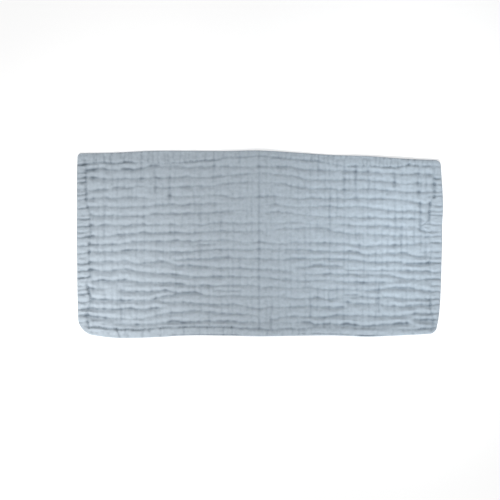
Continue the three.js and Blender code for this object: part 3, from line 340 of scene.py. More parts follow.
     (188, -111.5, 1.7), (193, -110.3, 2.2), (199, -110.5, 2.1), (204, -110, 2.2), (207, -110.5),
     (213, -113, 0.5)],
    [(-130, -108, 0.4), (-122, -107, 0.8), (-113, -106.7, 0.8), (-106, -106.7, 0.4)],
    [(212, -105, 0.9), (217, -105, 1.5), (222, -106, 1.6), (228, -105.5, 2.2), (235, -105.5, 2.4),
     (240, -105.5, 1.6), (245, -105, 1.4)],
    [(228, -109.5, 0.4), (236, -110, 0.8), (244, -110, 0.8)],
]

# Threads that draw the cloth in across its width: X, from Y, to Y and strength
CROSS_THREADS = [
    (-216, -120, 108, 0.5), (-190, -120, 108, 0.4), (-182, 48, 85, 0.4), (-164, 86, 120, 1.2),
    (-145, 72, 112, 1), (-140, -30, 66, 0.4), (-124.5, 60, 98, 1.1), (-83, -110, 112, 0.4),
    (-192, -112, -60, 0.9), (-180, -97, -78, 0.6), (-164, -60, -5, 0.3), (-100, -50, 20, 0.3),
    (-60, 40, 100, 0.3), (-64, 96, 113, 0.8), (-28, 110, 127, 0.6), (-28, 66, 80, 0.5),
    (16.5, -121, -84, 0.7), (21, 54, 86, 0.6), (30, 97, 124, 0.4), (73, 97, 124, 0.8), (82, 95, 124, 0.9),
    (70, -118, -60, 0.4), (98, 15, 85, 0.6), (88, 80, 118, 0.4), (118, 60, 112, 0.8), (133, 62, 112, 0.9),
    (150.5, 70, 112, 0.7), (138.5, -10, 20, 0.9), (165, -96, -52, 1.2), (186, 78, 112, 1),
    (188, -10, 40, 0.6), (196, -4, 26, 0.7), (219.5, 62, 106, 1), (222, 18, 58, 1), (235.5, 24, 58, 1),
    (195, -60, 20, 0.4), (209, -100, -60, 0.3), (152, 30, 42, 0.6), (97, -82, -56, 0.7),
    (131, -116, -100, 0.7), (-70, -116, -96, 0.8), (-52, 24, 42, 0.5), (-28, -42, -18, 0.5),
    (-123, -106, -90, 0.7),
]

# Gathers across the hem: place along its side and depth, with each side's own share and lean
GATHERS = {
    "left": [(122, 1), (116, 1), (109.5, 1.2), (98.7, 1.4), (92, 1.6), (85, 1.6), (76, 1), (73.5, 0.8),
             (68, 1.2), (61, 1.2), (49.7, 1.4), (40, 0.5), (34.5, 1.5), (24, 1.6), (16, 0.8), (8.7, 1.5),
             (-3, 1.3), (-13.3, 1.2), (-19.5, 0.5), (-27.8, 1.3), (-37.5, 1.5), (-47, 2), (-58, 0.9),
             (-63, 0.8), (-69.5, 1.7), (-81, 1), (-90, 1.8), (-99, 2), (-109, 0.9)],
    "right": [(90.7, 1.8), (82.5, 1.4), (72, 1.2), (66, 1.4), (53, 1.1), (46, 0.8), (39.5, 1.5), (27, 1),
              (17.3, 1.1), (11, 1), (2, 1.3), (-11, 1), (-19, 1.2), (-26, 1.5), (-39, 1.5), (-48.5, 1.5),
              (-58, 0.9), (-66.5, 1.4), (-77, 1.3), (-84, 1.4), (-96.5, 1.3), (-105, 1.4), (-110, 0.8),
              (-116, 1)],
    "top": [(-243, 1.2), (-230.5, 1.5), (-226, 1.3), (-216, 1.6), (-206, 1.5), (-193, 0.8), (-187, 1.6),
            (-181, 1.2), (-177, 1.3), (-163.5, 1.8), (-154, 1.6), (-148, 1.1), (-140, 1.6), (-131, 0.8),
            (-126, 1), (-119, 1.2), (-109.5, 1.4), (-103, 0.8), (-97, 1), (-88, 1.1), (-75.5, 1.4),
            (-63, 1.5), (-50.5, 1), (-34, 0.6), (-28, 0.9), (-16, 0.6), (-5, 0.5), (8, 0.6), (16, 0.8),
            (25.5, 0.9), (30, 0.8), (36, 0.8), (43, 0.8), (51, 0.9), (61, 0.8), (72, 1.6), (77, 1.1),
            (82, 1.6), (90, 0.9), (95, 1.2), (103, 1.2), (107, 1.1), (112, 1.2), (118, 0.9), (126, 0.9),
            (133, 1.1), (138, 0.9), (143, 1.3), (148, 1.3), (153, 1), (160, 1.6), (166, 1), (172, 1.6),
            (176, 0.8), (181.5, 1.4), (187, 0.8), (191.5, 1.5), (197, 0.8), (206, 1.9), (215, 1.2),
            (219, 1), (226, 1), (232, 0.9), (240, 1)],
    "bottom": [(-186, 1.1), (-182, 1.1), (-175, 0.6), (-162, 1.1), (-153, 0.8), (-137, 1.2), (-133, 0.8),
               (-117, 0.7), (-105, 1.3), (-83, 0.9), (-72, 1.2), (-63, 0.8), (-50, 1.2), (-44, 0.7),
               (-38, 1.4), (-26, 0.6), (-12, 0.6), (4, 0.5), (11, 1), (17, 0.9), (25, 0.7), (32, 0.8),
               (38, 0.7), (45, 1), (54, 0.8), (62, 1), (72, 0.7), (84, 0.6), (98, 0.6), (112, 0.6),
               (127, 0.7), (141, 0.5), (156, 0.6), (163, 0.9), (184, 0.7), (199, 0.6), (212, 0.9), (222, 1),
               (228, 0.8), (238, 1.1)],
}
GATHER_DEPTH = {"left": 1.15, "right": 0.9, "top": 0.75, "bottom": 0.85}
GATHER_LEAN = {"left": 0.1, "right": 0.0, "top": 0.0, "bottom": 0.0}

# A tuck that leans across the bottom hem, from its stitched line to the edge
TUCK = [(-199, -116), (-196, -122), (-193.3, -130)]

# Along parts of the bottom edge the hem's lower fold shows past the upper one: X, Y and depth
LOWER_FOLDS = [
    [(-120, -125.4, 0.6), (-100, -125.3, 1), (-70, -125.5, 1.5), (-50, -125.5, 1.4), (-42, -125.6, 0.8),
     (-35, -125.5, 1.3), (-26, -125.6, 1)],
    [(55, -124, 0.8), (60, -124, 1.8), (64, -124, 0.6)],
    [(70, -124, 0.8), (78, -123.7, 1.7), (86, -124, 1), (95, -124.3, 1.1), (110, -124.5, 0.9),
     (120, -125, 1), (128, -125.3, 0.8)],
    [(132, -125.8, 1), (138, -126.7, 2), (148, -127, 2.5), (156, -126.8, 2.2), (161, -126.3, 1),
     (175, -126, 0.5)],
]

# Places where the cloth is pulled into a small pit, its colour darkened there with painted shade: X, Y,
# half its length, half its width and depth
PITS = [
    # the left hem's stitches
    (-240, 123, 2, 1.6, 1), (-240, 116, 1.8, 1.6, 0.8), (-240, 110.5, 3, 2, 0.6),
    (-241, 102, 2.4, 1.8, 1.2), (-241, 92.5, 2.6, 1.8, 1.4), (-241, 85.5, 2.4, 1.6, 1.4),
    (-240, 76, 1.8, 1.6, 0.8), (-240, 69.5, 2.2, 2, 1.3), (-240, 61.5, 2.4, 1.8, 1.4),
    (-239, 50.5, 2.4, 1.6, 1.2), (-234, 41, 1.8, 2.2, 0.8), (-234, 26, 2.4, 2.2, 1.4),
    (-233, 16, 1.8, 1.5, 0.9), (-236, 10.5, 4.2, 1.8, 1.5), (-236, 0, 1.9, 2.6, 1.4),
    (-236, -11.5, 2, 2.6, 1.5), (-236, -26, 2, 2.2, 1.2), (-235, -36, 2.8, 2.4, 2),
    (-234, -45, 2, 3.4, 1.4), (-238, -61, 2.4, 2, 1.2), (-236, -67, 1.8, 3, 1.4),
    (-234.5, -74, 1.7, 4, 1.2), (-234.5, -84, 1.6, 3, 0.8), (-237, -90, 2.4, 1.8, 1.1),
    (-239, -99, 3, 2, 1.2), (-238, -108.5, 2, 2.4, 1.3), (-236, -116, 2, 2, 1),
    # the right hem's stitches
    (242, 91, 1.8, 1.6, 0.6), (242, 82, 2.2, 2.8, 1.6), (242, 73, 1.8, 2, 1), (242, 65, 2.6, 2.4, 2.1),
    (249, 66, 1.6, 1.8, 0.8), (235, 65.5, 2.6, 2.2, 1.4), (236, 55, 2.2, 3, 1.8), (235, 44, 2.2, 2.6, 1.6),
    (235, 36, 1.8, 3.5, 1.1), (235, 29.5, 1.8, 2.2, 1.3), (222, 30, 2, 5, 0.9), (222.5, 22, 2, 3, 0.8),
    (222, 55, 2, 3, 0.8), (219, 72, 1.6, 5, 0.4), (219, 84, 1.8, 3, 0.3), (219, 96, 2.2, 2, 0.3),
    (230, 8.5, 2.6, 1.6, 0.6), (229, -12.5, 1.6, 2.6, 0.8), (234, -26.5, 2.8, 2, 1),
    (236, -82, 2, 4.5, 1.4), (236, -88, 1.8, 3, 0.8), (240, -105, 1.8, 4, 0.8), (240, -112, 1.8, 3, 0.8),
    # along the middle fold
    (-1, 107, 3, 2, 0.6), (-1, 65, 3, 2.6, 0.7), (-1, 29, 2.4, 2, 0.3), (-1, 17.5, 2.2, 2, 0.3),
    (-1, 2, 2.4, 4, 0.4), (-1, -7.5, 3.2, 2.2, 0.6), (-1, -21, 2.6, 2.6, 0.5), (-1, -35, 2.8, 2.4, 0.7),
    (-1, -46.5, 2.6, 2, 0.4), (-1, -60.5, 3, 3, 0.4), (-1, -73, 2.4, 2, 0.3), (-1, -90, 2.4, 2, 0.3),
    (-1, -116.5, 2.4, 2, 0.3),
    # where threads across draw in a rib
    (-216, 86.5, 1.8, 3, 0.5), (-145, 74, 2, 3, 0.4), (-125, 64, 2, 3, 0.3), (-160, 50, 2, 2.6, 0.3),
    (-160, 36, 1.8, 3, 0.3), (20, 62, 1.6, 5, 0.4), (22, 55, 2, 2, 0.4), (-16, 73, 1.6, 3, 0.2),
    (97, 37, 2.2, 4, 0.5), (97, 48, 1.6, 3, 0.2), (95, 19, 1.8, 3, 0.3), (133, 102, 2, 5, 0.3),
    (118, 89, 1.8, 6, 0.2), (186, 90, 2, 5, 0.3), (196, 22, 2, 3, 0.5), (138, -2.5, 2, 3, 0.4),
    (178, 47, 1.7, 3, 0.3), (177, 35, 2, 3, 0.3), (165, -64, 2.2, 3.4, 0.6), (131, -106, 1.8, 4, 0.3),
    (132, -112.5, 2.4, 2.4, 0.4), (100, -77, 3, 2.4, 0.3), (-70, -105, 1.8, 5, 0.2),
    (-123, -100, 1.7, 4, 0.2), (-213, -100, 1.8, 4, 0.6), (-192, -64, 2, 4, 0.2),
    (-180, -90, 1.8, 1.8, 0.2), (-170, -91, 1.6, 1.6, 0.2),
    # in the hem's band
    (-233, -121.7, 2, 1.4, 1.3), (-225, -122.3, 2, 1.3, 1), (-218, -121.7, 2.2, 1.5, 1.2),
    (-209, -123, 2, 1.6, 1), (-206, -126, 2, 1.2, 0.6), (-248, 122, 1.6, 1.6, 0.8),
    (-226, 124.5, 2, 1.2, 0.6), (-205, 125.3, 2, 1.1, 0.6), (-193, 126, 2.4, 1, 0.8),
    (-185, 126.7, 2, 1, 0.8), (-180, 126.3, 1.6, 1.2, 0.7), (-163, 127.5, 2, 1, 0.6),
    (-147, 128, 2, 1, 0.6), (95, 121.6, 2.2, 1.1, 1), (102, 121.6, 2.8, 1.1, 1.2), (112, 121.2, 2, 1, 0.6),
    (121, 121, 2, 1, 0.6), (140, 119.6, 2, 1.2, 0.7), (145, 118.4, 2, 1.4, 0.9), (150, 119, 1.6, 1, 0.6),
    (160, 119, 1.6, 1.3, 0.8), (172, 118.4, 1.8, 1.3, 1.1), (180, 118.7, 2.2, 1.2, 1),
    (190, 118.5, 2.4, 1.1, 0.8), (199, 117, 2.4, 1.1, 1), (206, 117, 2, 1.4, 1), (214, 116.2, 3, 1.1, 1.2),
    (222, 116, 2.4, 1, 0.6), (233, 115.6, 2.4, 1.1, 0.8), (240, 115.5, 2, 1, 0.6),
    (206, 110, 2.2, 1.8, 0.8),
]

# Places where the hem or a rib puffs up: X, Y, half its length, half its width and height
PUFFS = [
    (-246, 80, 4, 2.6, 0.9), (-246, 97, 4, 2.4, 0.9), (-246, 64, 4, 2, 0.7), (-247, 44, 4, 3, 0.7),
    (-247, 29, 4, 2.6, 0.8), (-247, 19, 3, 2, 0.7), (-247, 3, 4, 3, 0.8), (-247, -8, 3, 2.4, 0.8),
    (-246, -23, 4, 2, 1.0), (-246, -32, 5, 2, 1.2), (-246, -42, 4, 2.6, 0.9), (-246, -54, 4, 2.4, 1.1),
    (-245, -65, 5, 2, 1.3), (-244, -75, 4, 2.6, 1.2), (-245, -85, 4, 2.4, 1.3), (-242, -95, 5, 1.8, 1.5),
    (-243, -104, 4, 2.6, 1.2), (-236, -95, 4, 2, 1.0), (-228, -97, 5, 1.8, 0.9), (-230, -108, 4, 2.4, 0.9),
    (-214, -113, 6, 1.8, 1.0), (-228, -118, 4, 1.6, 0.9), (-236, -118, 3, 2, 0.9),
    (-200, -122, 4, 2.2, 0.8), (-178, -123, 6, 2.4, 0.7), (-125, -112.5, 6, 1.6, 0.8),
    (-100, -112, 7, 1.6, 0.8), (-80, -111.5, 6, 1.6, 0.8), (-55, -111.5, 6, 1.6, 1.0),
    (-20, -120.5, 7, 2.6, 1.0), (-8, -121.5, 5, 2.4, 0.9), (6, -123, 5, 2.2, 0.8), (-20, -105, 8, 2, 0.8),
    (24, -123, 5, 2, 0.6), (64, -105.5, 5, 1.8, 0.8), (85, -107.5, 7, 1.8, 0.8), (105, -95.5, 6, 1.6, 0.8),
    (118, -106.5, 7, 1.8, 1.0), (134, -108, 5, 2, 0.9), (172, -107.5, 7, 1.8, 0.9),
    (198, -106.5, 7, 1.8, 1.0), (190, -57, 14, 2, 0.9), (195, -54.5, 12, 2.2, 0.8), (210, -68, 12, 3, 0.6),
    (185, -69, 10, 2.6, 0.6), (212, -93, 6, 1.8, 0.9), (230, -101.5, 8, 1.8, 1.0), (228, -112, 8, 2, 1.0),
    (225, -81.5, 8, 2, 0.8), (240, -92, 5, 2, 0.8), (232, -59, 8, 2.4, 0.6), (228, -24, 7, 1.8, 1.0),
    (-60, -16, 7, 1.8, 0.8), (60, -16.5, 8, 1.8, 0.7), (82, -25, 6, 1.8, 0.8), (-180, -74.5, 9, 2, 0.7),
    (-130, -60.5, 9, 2, 0.9), (-96, -64, 8, 1.8, 0.8), (-120, -38.5, 9, 2, 0.8), (-215, -46.5, 8, 2, 0.8),
]

# Thickness of the cloth at a rib, at the hem's edge and in the deepest trough
CREST = 4.1
EDGE_HEIGHT = 3.1
THINNEST = 1.0

# In from the edge, where it rounds over and where the crinkle starts; out from the hem's line, where the
# band slopes down; and how far up the edge's thickness the rounding begins
EDGE_ROUNDING = 1.8
EDGE_CALM = (1.0, 4.0)
EDGE_SLOPE = (2.0, 12.0)
FOOT_SHARE = 0.35

# The middle fold's tent and its crease, and how far the cloth stands off at each X station
FOLD = {"x": -1.0, "height": 3.2, "spread": 34.0, "cut_off": 0.35, "groove": 0.9, "half": 1.7}
LIFT = [0.0, 0.4, 0.0, 0.0, 0.0, 0.0, 0.0, 0.3, 1.5, 2.6, 0.0]
SWAY = {"share": 0.15, "length": 31.0}

# Creases: a narrow core between wide flanks. The flanks' share changes along the cloth and across it, and
# a ridge stands above each deep crease.
CREASE = {
    "core": 1.05, "core_half": 1.85, "widening": 0.15, "most_core": 1.2, "core_power": 0.6,
    "flank": 1.1, "flank_half": 4.4, "rise": 0.6, "outer_fade": 6, "inner_fade": 8,
}
FLANK_SHARE = {
    "x": [-250, -120, -60, 0, 60, 120, 250],
    "upper": [1.05, 0.95, 0.7, 0.6, 0.62, 0.75, 0.8],
    "lower": [1.75, 1.65, 1.0, 0.6, 0.65, 1.3, 1.5],
}
LOWER_TO_UPPER = (-40, 40)
RIDGE = {"height": 0.5, "from": 0.9, "offset": 5.0, "half": 2.6}

# Threads across: the named ones, and plain ones at a pitch between them
CROSS = {
    "core": 0.95, "core_half": 1.45, "named_half": 1.9, "flank": 0.5, "flank_half": 3.0, "fade": 5,
    "pitch": 8.9, "each_way": 27, "stagger": 1.3, "stagger_turn": 2.1,
}
CROSS_SHARE_ALONG = ([-250, -90, 0, 60, 110, 250], [0.55, 0.42, 0.30, 0.40, 0.60, 0.60])
KNOT = {"depth": 0.15, "most": 1.6, "on_fold": 0.5}

# The hem: its stitched line, the gathers in its band, the tuck and the lower fold
HEM_LINE = {"depth": 1.35, "half": 1.7, "least": 0.8, "pulled_by_gathers": 0.3, "overlap": 3}
INSIDE_HEM = (-1.0, 2.0)
CREASE_LEFT_IN_BAND = 0.2
GATHER = {"half": 1.45, "fade": 1.5, "lean_from": -246}
TUCK_SIZE = {"depth": 1.9, "half": 1.4}
LOWER_FOLD = {"depth": 1.1, "half": 1.0, "fade": 3}
# The band's fine creases: how high they stand, how much painted shade their dips get, and over what
# distance they fade in
BAND_TEXTURE = {"height": 0.5, "shade": 0.09, "fade": 2.5}

# Painted shade: how much darker the cloth's colour is made where it is drawn in. Mostly it stands for the
# shade in creases, pits and lines, partly for the denser cloth there
PAINTED_DARKENING = {"plain": 0.145, "deep": 0.035, "strong": 0.18, "strong_from": 1.1, "most": 0.9}

# How uneven a line is: by how much, over what length, how far apart the rows of noise are, and the seed
UNEVEN = {
    "crease_line": (0.5, 4.5, 37.0, 11),
    "crease_depth": (0.3, 5.0, 53.0, 12),
    "thread_line": (1.0, 14.0, 29.0, 21),
    "plain_line": (1.0, 22.0, 17.0, 22),
    "plain_depth": (0.45, 9.0, 31.0, 23),
    "thread_depth": (0.35, 7.0, 41.0, 24),
    "gather_line": (0.9, 5.0, 13.0, 31),
    "gather_depth": (0.35, 3.5, 19.0, 32),
    "fold_line": (0.5, 12.0, 0.0, 42),
}

# Crinkle over the cloth: by how much, its length along X, its length along Y and the seed
CRINKLE = {
    "hem_line": (0.3, 3.0, 3.0, 41),
    "long": (0.28, 11.0, 3.0, 51),
    "across": (0.26, 3.4, 7.0, 52),
    "small": (0.20, 2.9, 2.4, 53),
    "swell": (0.35, 60.0, 45.0, 54),
    "shade": (0.04, 3.1, 4.6, 55),
    "end_band": (1.0, 5.0, 2.6, 56),
    "side_band": (1.0, 2.6, 4.0, 57),
}

# The underside: how firmly it follows the creases, how far it is set in, how far it clears the floor and
# where, in from its edge, the creases start
UNDER = {"firmness": 0.35, "inset": 1.2, "clearance": 0.02, "calm": (2, 6)}

# How finely the cloth is divided, more so near its edges, and the rough size that the outline starts from
TOP_CELLS = (325, 268)
UNDER_CELLS = (60, 110)
ROUGH_SIZE = (506, 255)
ROUGH_HALF = (253, 127)
OUTLINE_ROUNDS = 6
EDGE_CELLS = {"reach": 9.0, "even_share": 0.45}

# How far each way a line runs, how softly it turns at its points and over how many millimetres
LINE_REACH = 264.0
LINE_SOFTNESS = {"place": 2.0, "depth": 1.2}
SOFTENED_OVER = 8

# Cells of the noise's lattice each way
LATTICE = 700

# Stitches, how far they are raised over the line that they pull down, and where they run on each side
STITCH = {"pitch": 3.4, "length": 2.5, "width": 0.55, "flatness": 1.3, "raised": 0.12}
STITCHED = {"top": (-236, 238), "bottom": (-236, 238), "left": (-113, 107), "right": (-113, 107)}

# Weave of the gauze, in millimetres, the colours of the gauze and its thread, and the painted shade colour
# that its creases darken towards
THREAD_PITCH = 1.1
THREAD_RIPPLE = 0.4
WEAVE_SHARE = 0.35
BUMP_DISTANCE = 0.5
RIB_COLOUR = (0.362, 0.414, 0.463, 1)
PAINTED_SHADE_COLOUR = (0.072, 0.098, 0.126, 1)
THREAD_DARK = (0.26, 0.31, 0.355, 1)
THREAD_LIGHT = (0.36, 0.415, 0.465, 1)

# The camera looks straight down at the photo's middle
PHOTO_PIXELS = 500
MM_PER_PIXEL = 1.386
PHOTO_CENTRE = (-13.5, -8.7)
CAMERA_HEIGHT = 3.0
SENSOR = 36.0

# Floor and light. A spot's row: name, place, the point it is aimed at, cone in degrees, watts and colour.
FLOOR = {"half": 4.0, "grey": 0.72, "glow": 0.393}
ROOM_LIGHT = 0.66
KEY = {"at": (-0.70, -1.10, 1.00), "watts": 6.4, "size": 0.7}
SPOT_SOFTNESS = 0.16
SPOTS = [
    ("spot_left", (-0.45, -0.95, 1.25), (-0.24, -0.078, 0.0), 17, 101.0, (1.0, 1.0, 0.995)),
    ("spot_right", (0.15, -1.00, 1.20), (0.197, 0.02, 0.0), 14.5, 133.0, (0.90, 0.96, 1.0)),
    ("spot_back", (-0.08, 0.40, 1.40), (-0.08, 0.19, 0.0), 13, 12.5, (1.0, 1.0, 1.0)),
]


# Curves and noise

def along(values, stations, at):
    """A smooth curve through values at even stations, held level beyond them."""
    padded = np.concatenate(([values[0]], values, [values[-1]]))
    gap = stations[1] - stations[0]
    place = np.clip((at - stations[0]) / gap, 0, len(values) - 1)
    i = np.minimum(place.astype(int), len(values) - 2)
    t = place - i
    a, b, c, d = (padded[i + k] for k in range(4))
    return 0.5 * (2 * b + t * (c - a + t * (2 * a - 5 * b + 4 * c - d + t * (3 * b - a - 3 * c + d))))


def along_x(values, x):
    return along(values, X_STATIONS, x)


def along_y(values, y):
    return along(values, Y_STATIONS, y)


def smooth_line(points, at, kind):
    """The place or the depth of a crease along its points, with the corners softened."""
    column = 1 if kind == "place" else 2
    fine = np.arange(-LINE_REACH, LINE_REACH + 1)
    rows = [tuple(p) + (1.0,) * (3 - len(p)) for p in points]
    raw = np.interp(fine, [p[0] for p in rows], [p[column] for p in rows])
    kernel = np.exp(-0.5 * (np.arange(-SOFTENED_OVER, SOFTENED_OVER + 1) / LINE_SOFTNESS[kind]) ** 2)
    soft = np.convolve(np.pad(raw, SOFTENED_OVER, mode="edge"), kernel / kernel.sum(), mode="valid")
    return np.interp(at, fine, soft)


@functools.lru_cache(maxsize=None)
def random_lattice(seed):
    return np.random.default_rng(seed).uniform(-1, 1, (LATTICE, LATTICE))


def noise(x, y, size_x, size_y, seed):
    """Smooth noise from -1 to 1 over a lattice whose cells are size_x by size_y."""
    lattice = random_lattice(seed)
    u, v = x / size_x + LATTICE // 2, y / size_y + LATTICE // 2
    i, j = np.floor(u).astype(int), np.floor(v).astype(int)
    s, t = u - i, v - j
    s, t = s * s * (3 - 2 * s), t * t * (3 - 2 * t)
    near_i, near_j, far_i, far_j = i % LATTICE, j % LATTICE, (i + 1) % LATTICE, (j + 1) % LATTICE
    low = lattice[near_i, near_j] * (1 - s) + lattice[far_i, near_j] * s
    high = lattice[near_i, far_j] * (1 - s) + lattice[far_i, far_j] * s
    return low * (1 - t) + high * t


def uneven(kind, run, index=0):
    """Unevenness along a line, different for each index."""
    amount, length, apart, seed = UNEVEN[kind]
    return amount * noise(run, 0 * run + apart * index, length, 1.0, seed)


def crinkle(kind, x, y):
    """Crinkle of one kind at each point of the cloth."""
    amount, length_x, length_y, seed = CRINKLE[kind]
    return amount * noise(x, y, length_x, length_y, seed)


def bell(distance, half):
    return np.exp(-((distance / half) ** 2))


def step(value, start, end):
    t = np.clip((value - start) / (end - start), 0, 1)
    return t * t * (3 - 2 * t)


def span(run, first, last, outer, inner):
    """1 from the first place to the last and 0 beyond them, with soft ends."""
    return step(run, first - outer, first + inner) * (1 - step(run, last - inner, last + outer))


# The cloth's surface

def base_height(x, y):
    """How far the cloth stands off what it lies on."""
    tent = FOLD["height"] * np.exp(-np.abs(x - FOLD["x"]) / FOLD["spread"]) - FOLD["cut_off"]
    sway = 1 - SWAY["share"] * (1 - np.sin(y / SWAY["length"]))
    return (np.maximum(tent, 0) + np.maximum(along_x(LIFT, x), 0)) * sway


def hem_distances(x, y):
    """Distance inwards from the hem's stitched line on each side, and how deep the line is there."""
    runs = {"top": x, "bottom": x, "left": y, "right": y}
    top, bottom, left, right = (smooth_line(HEM[side], run, "place") for side, run in runs.items())
    depths = [smooth_line(HEM[side], run, "depth") for side, run in runs.items()]
    return np.stack([top - y, y - bottom, x - left, right - x]), np.stack(depths)


def edge_distance(x, y):
    """Distance inwards from the nearest side."""
    top, bottom = along_x(SIDES["top"], x), along_x(SIDES["bottom"], x)
    left, right = along_y(SIDES["left"], y), along_y(SIDES["right"], y)
    return np.minimum.reduce([top - y, y - bottom, x - left, right - x])


def crease_field(x, y):
    """The creases' narrow cores, their wide flanks and the ridges above deep ones, 1 for a plain crease."""
    core, flank, ridge = np.zeros_like(x), np.zeros_like(x), np.zeros_like(x)
    for index, points in enumerate(CREASES):
        line = smooth_line(points, x, "place") + uneven("crease_line", x, index)
        strength = smooth_line(points, x, "depth")
        broken = 1 + uneven("crease_depth", x, index)
        ends = span(x, points[0][0], points[-1][0], CREASE["outer_fade"], CREASE["inner_fade"])
        distance = y - line - CREASE["rise"]
        core_half = CREASE["core_half"] * (1 - CREASE["widening"] + CREASE["widening"] * strength)
        core += strength * broken * ends * bell(distance, core_half)
        flank += strength * ends * bell(distance, CREASE["flank_half"])
        pushed_up = np.maximum(strength - RIDGE["from"], 0) * ends
        ridge += pushed_up * bell(distance - RIDGE["offset"], RIDGE["half"])
    return core, flank, ridge


def cross_field(x, y):
    """The threads that draw the cloth in across its width, their cores and flanks."""
    core, flank = np.zeros_like(x), np.zeros_like(x)
    for index, (place, low, high, strength) in enumerate(CROSS_THREADS):
        sway = uneven("thread_line", y, index)
        reach = span(y, low, high, CROSS["fade"], CROSS["fade"])
        broken = strength * reach * (1 + uneven("thread_depth", y, index))
        core += broken * bell(x - place - sway, CROSS["named_half"])
        flank += broken * bell(x - place - sway, CROSS["flank_half"])
    plain = np.interp(x, *CROSS_SHARE_ALONG)
    for k in range(-CROSS["each_way"], CROSS["each_way"] + 1):
        stagger = CROSS["stagger"] * math.sin(CROSS["stagger_turn"] * k)
        place = k * CROSS["pitch"] + stagger + uneven("plain_line", y, k)
        share = np.clip(plain + uneven("plain_depth", y, k), 0, 1)
        core += share * bell(x - place, CROSS["core_half"])
        flank += share * bell(x - place, CROSS["flank_half"])
    return core, flank


def gather_field(x, y, distances):
    """The gathers that run across the hem's band, from its stitched line to its edge, and the tuck."""
    total = np.zeros_like(x)
    top, bottom, left, right = (step(-d, -GATHER["fade"], GATHER["fade"]) for d in distances)
    ends = np.maximum(top, bottom)
    bands = {"left": left * (1 - ends), "right": right * (1 - ends), "top": top, "bottom": bottom}
    for side, band in bands.items():
        run, across = (x, y) if side in ("top", "bottom") else (y, x)
        for index, (place, depth) in enumerate(GATHERS[side]):
            lean = GATHER_LEAN[side] * (across - GATHER["lean_from"])
            distance = run - place - uneven("gather_line", across, index) - lean
            broken = 1 + uneven("gather_depth", across, index)
            total += GATHER_DEPTH[side] * depth * broken * band * bell(distance, GATHER["half"])
    tuck = np.interp(-y, [-p[1] for p in TUCK], [p[0] for p in TUCK])
    return total + TUCK_SIZE["depth"] * bottom * bell(x - tuck, TUCK_SIZE["half"])


def lower_fold_field(x, y):
    """The gap between the two folds of the bottom hem, where both show."""
    total = np.zeros_like(x)
    for points in LOWER_FOLDS:
        ends = span(x, points[0][0], points[-1][0], LOWER_FOLD["fade"], LOWER_FOLD["fade"])
        distance = y - smooth_line(points, x, "place")
        total += smooth_line(points, x, "depth") * ends * bell(distance, LOWER_FOLD["half"])
    return total


def dimple_field(spots, x, y):
    """Small pits or puffs, each with its own length and width."""
    total = np.zeros_like(x)
    for place_x, place_y, half_x, half_y, size in spots:
        total += size * bell(np.hypot((x - place_x) / half_x, (y - place_y) / half_y), 1)
    return total


def stitched_line(x, y, distances, depths, nearest):
    """How deep the hem's line is. The left and right lines stop where they meet the others."""
    on_line = bell(distances, HEM_LINE["half"])
    on_line[2:] *= distances[2:] < nearest + HEM_LINE["overlap"]
    line = np.max(depths * on_line, axis=0)
    return line * (HEM_LINE["least"] + crinkle("hem_line", x, y))


def band_texture(x, y, distances):
    """Fine creases of the hem's band, along the left and right ends and across the other sides."""
    at_ends = step(np.maximum(-distances[2], -distances[3]), 0.0, BAND_TEXTURE["fade"])
    return at_ends * crinkle("end_band", x, y) + (1 - at_ends) * crinkle("side_band", x, y)


def surface(x, y):
    """The height of the cloth's top, how much painted shade each point gets where it is drawn in, and its
    distance from the edge.
    """
    distances, depths = hem_distances(x, y)
    nearest = np.min(distances, axis=0)
    edge = edge_distance(x, y)
    inner = step(nearest, *INSIDE_HEM)
    kept = CREASE_LEFT_IN_BAND + (1 - CREASE_LEFT_IN_BAND) * inner

    upper, lower = (np.interp(x, FLANK_SHARE["x"], FLANK_SHARE[half]) for half in ("upper", "lower"))
    flank_share = lower + (upper - lower) * step(y, *LOWER_TO_UPPER)
    core_share = np.minimum(flank_share, CREASE["most_core"]) ** CREASE["core_power"] * kept
    flank_share = flank_share * kept
    crease_core, crease_flank, ridge = crease_field(x, y)
    cross_core, cross_flank = cross_field(x, y)
    gathers = gather_field(x, y, distances)
    line = stitched_line(x, y, distances, depths, nearest)
    groove = bell(x - FOLD["x"] - uneven("fold_line", y), FOLD["half"])
    knots = np.minimum(crease_core * core_share, KNOT["most"])
    knots = knots * (cross_core * inner + KNOT["on_fold"] * groove)

    narrow = (
        CREASE["core"] * crease_core * core_share + CROSS["core"] * cross_core * inner
        + KNOT["depth"] * knots + dimple_field(PITS, x, y) + gathers
        + HEM_LINE["depth"] * line * (1 + HEM_LINE["pulled_by_gathers"] * gathers)
        + LOWER_FOLD["depth"] * lower_fold_field(x, y) + FOLD["groove"] * groove
    )
    wide = CREASE["flank"] * crease_flank * flank_share + CROSS["flank"] * cross_flank * inner
    deepest = CREST - THINNEST
    trough = deepest * np.tanh((narrow + wide) / deepest)

    in_band = step(-nearest, 0.0, BAND_TEXTURE["fade"])
    band = band_texture(x, y, distances)
    fine = crinkle("long", x, y) + crinkle("across", x, y) + crinkle("small", x, y)
    fine = fine - BAND_TEXTURE["height"] * in_band * band
    ridges = RIDGE["height"] * flank_share * ridge
    raised = fine + crinkle("swell", x, y) + ridges + dimple_field(PUFFS, x, y)
    body = CREST - trough + raised * step(edge, *EDGE_CALM)
    body = body - (CREST - EDGE_HEIGHT) * step(-nearest, *EDGE_SLOPE)

    # Painted shade: the colour darkens with how deeply each point is drawn in, more at strong creases, with
    # random mottling and more in the band's dips
    strong = np.maximum(crease_core * core_share - PAINTED_DARKENING["strong_from"], 0)
    painted_shade = PAINTED_DARKENING["plain"] * narrow + PAINTED_DARKENING["deep"] * narrow ** 2 + PAINTED_DARKENING["strong"] * strong
    painted_shade = PAINTED_DARKENING["most"] * np.tanh(painted_shade / PAINTED_DARKENING["most"]) + crinkle("shade", x, y)
    painted_shade = painted_shade + BAND_TEXTURE["shade"] * in_band * band
    return base_height(x, y) + body, painted_shade, edge


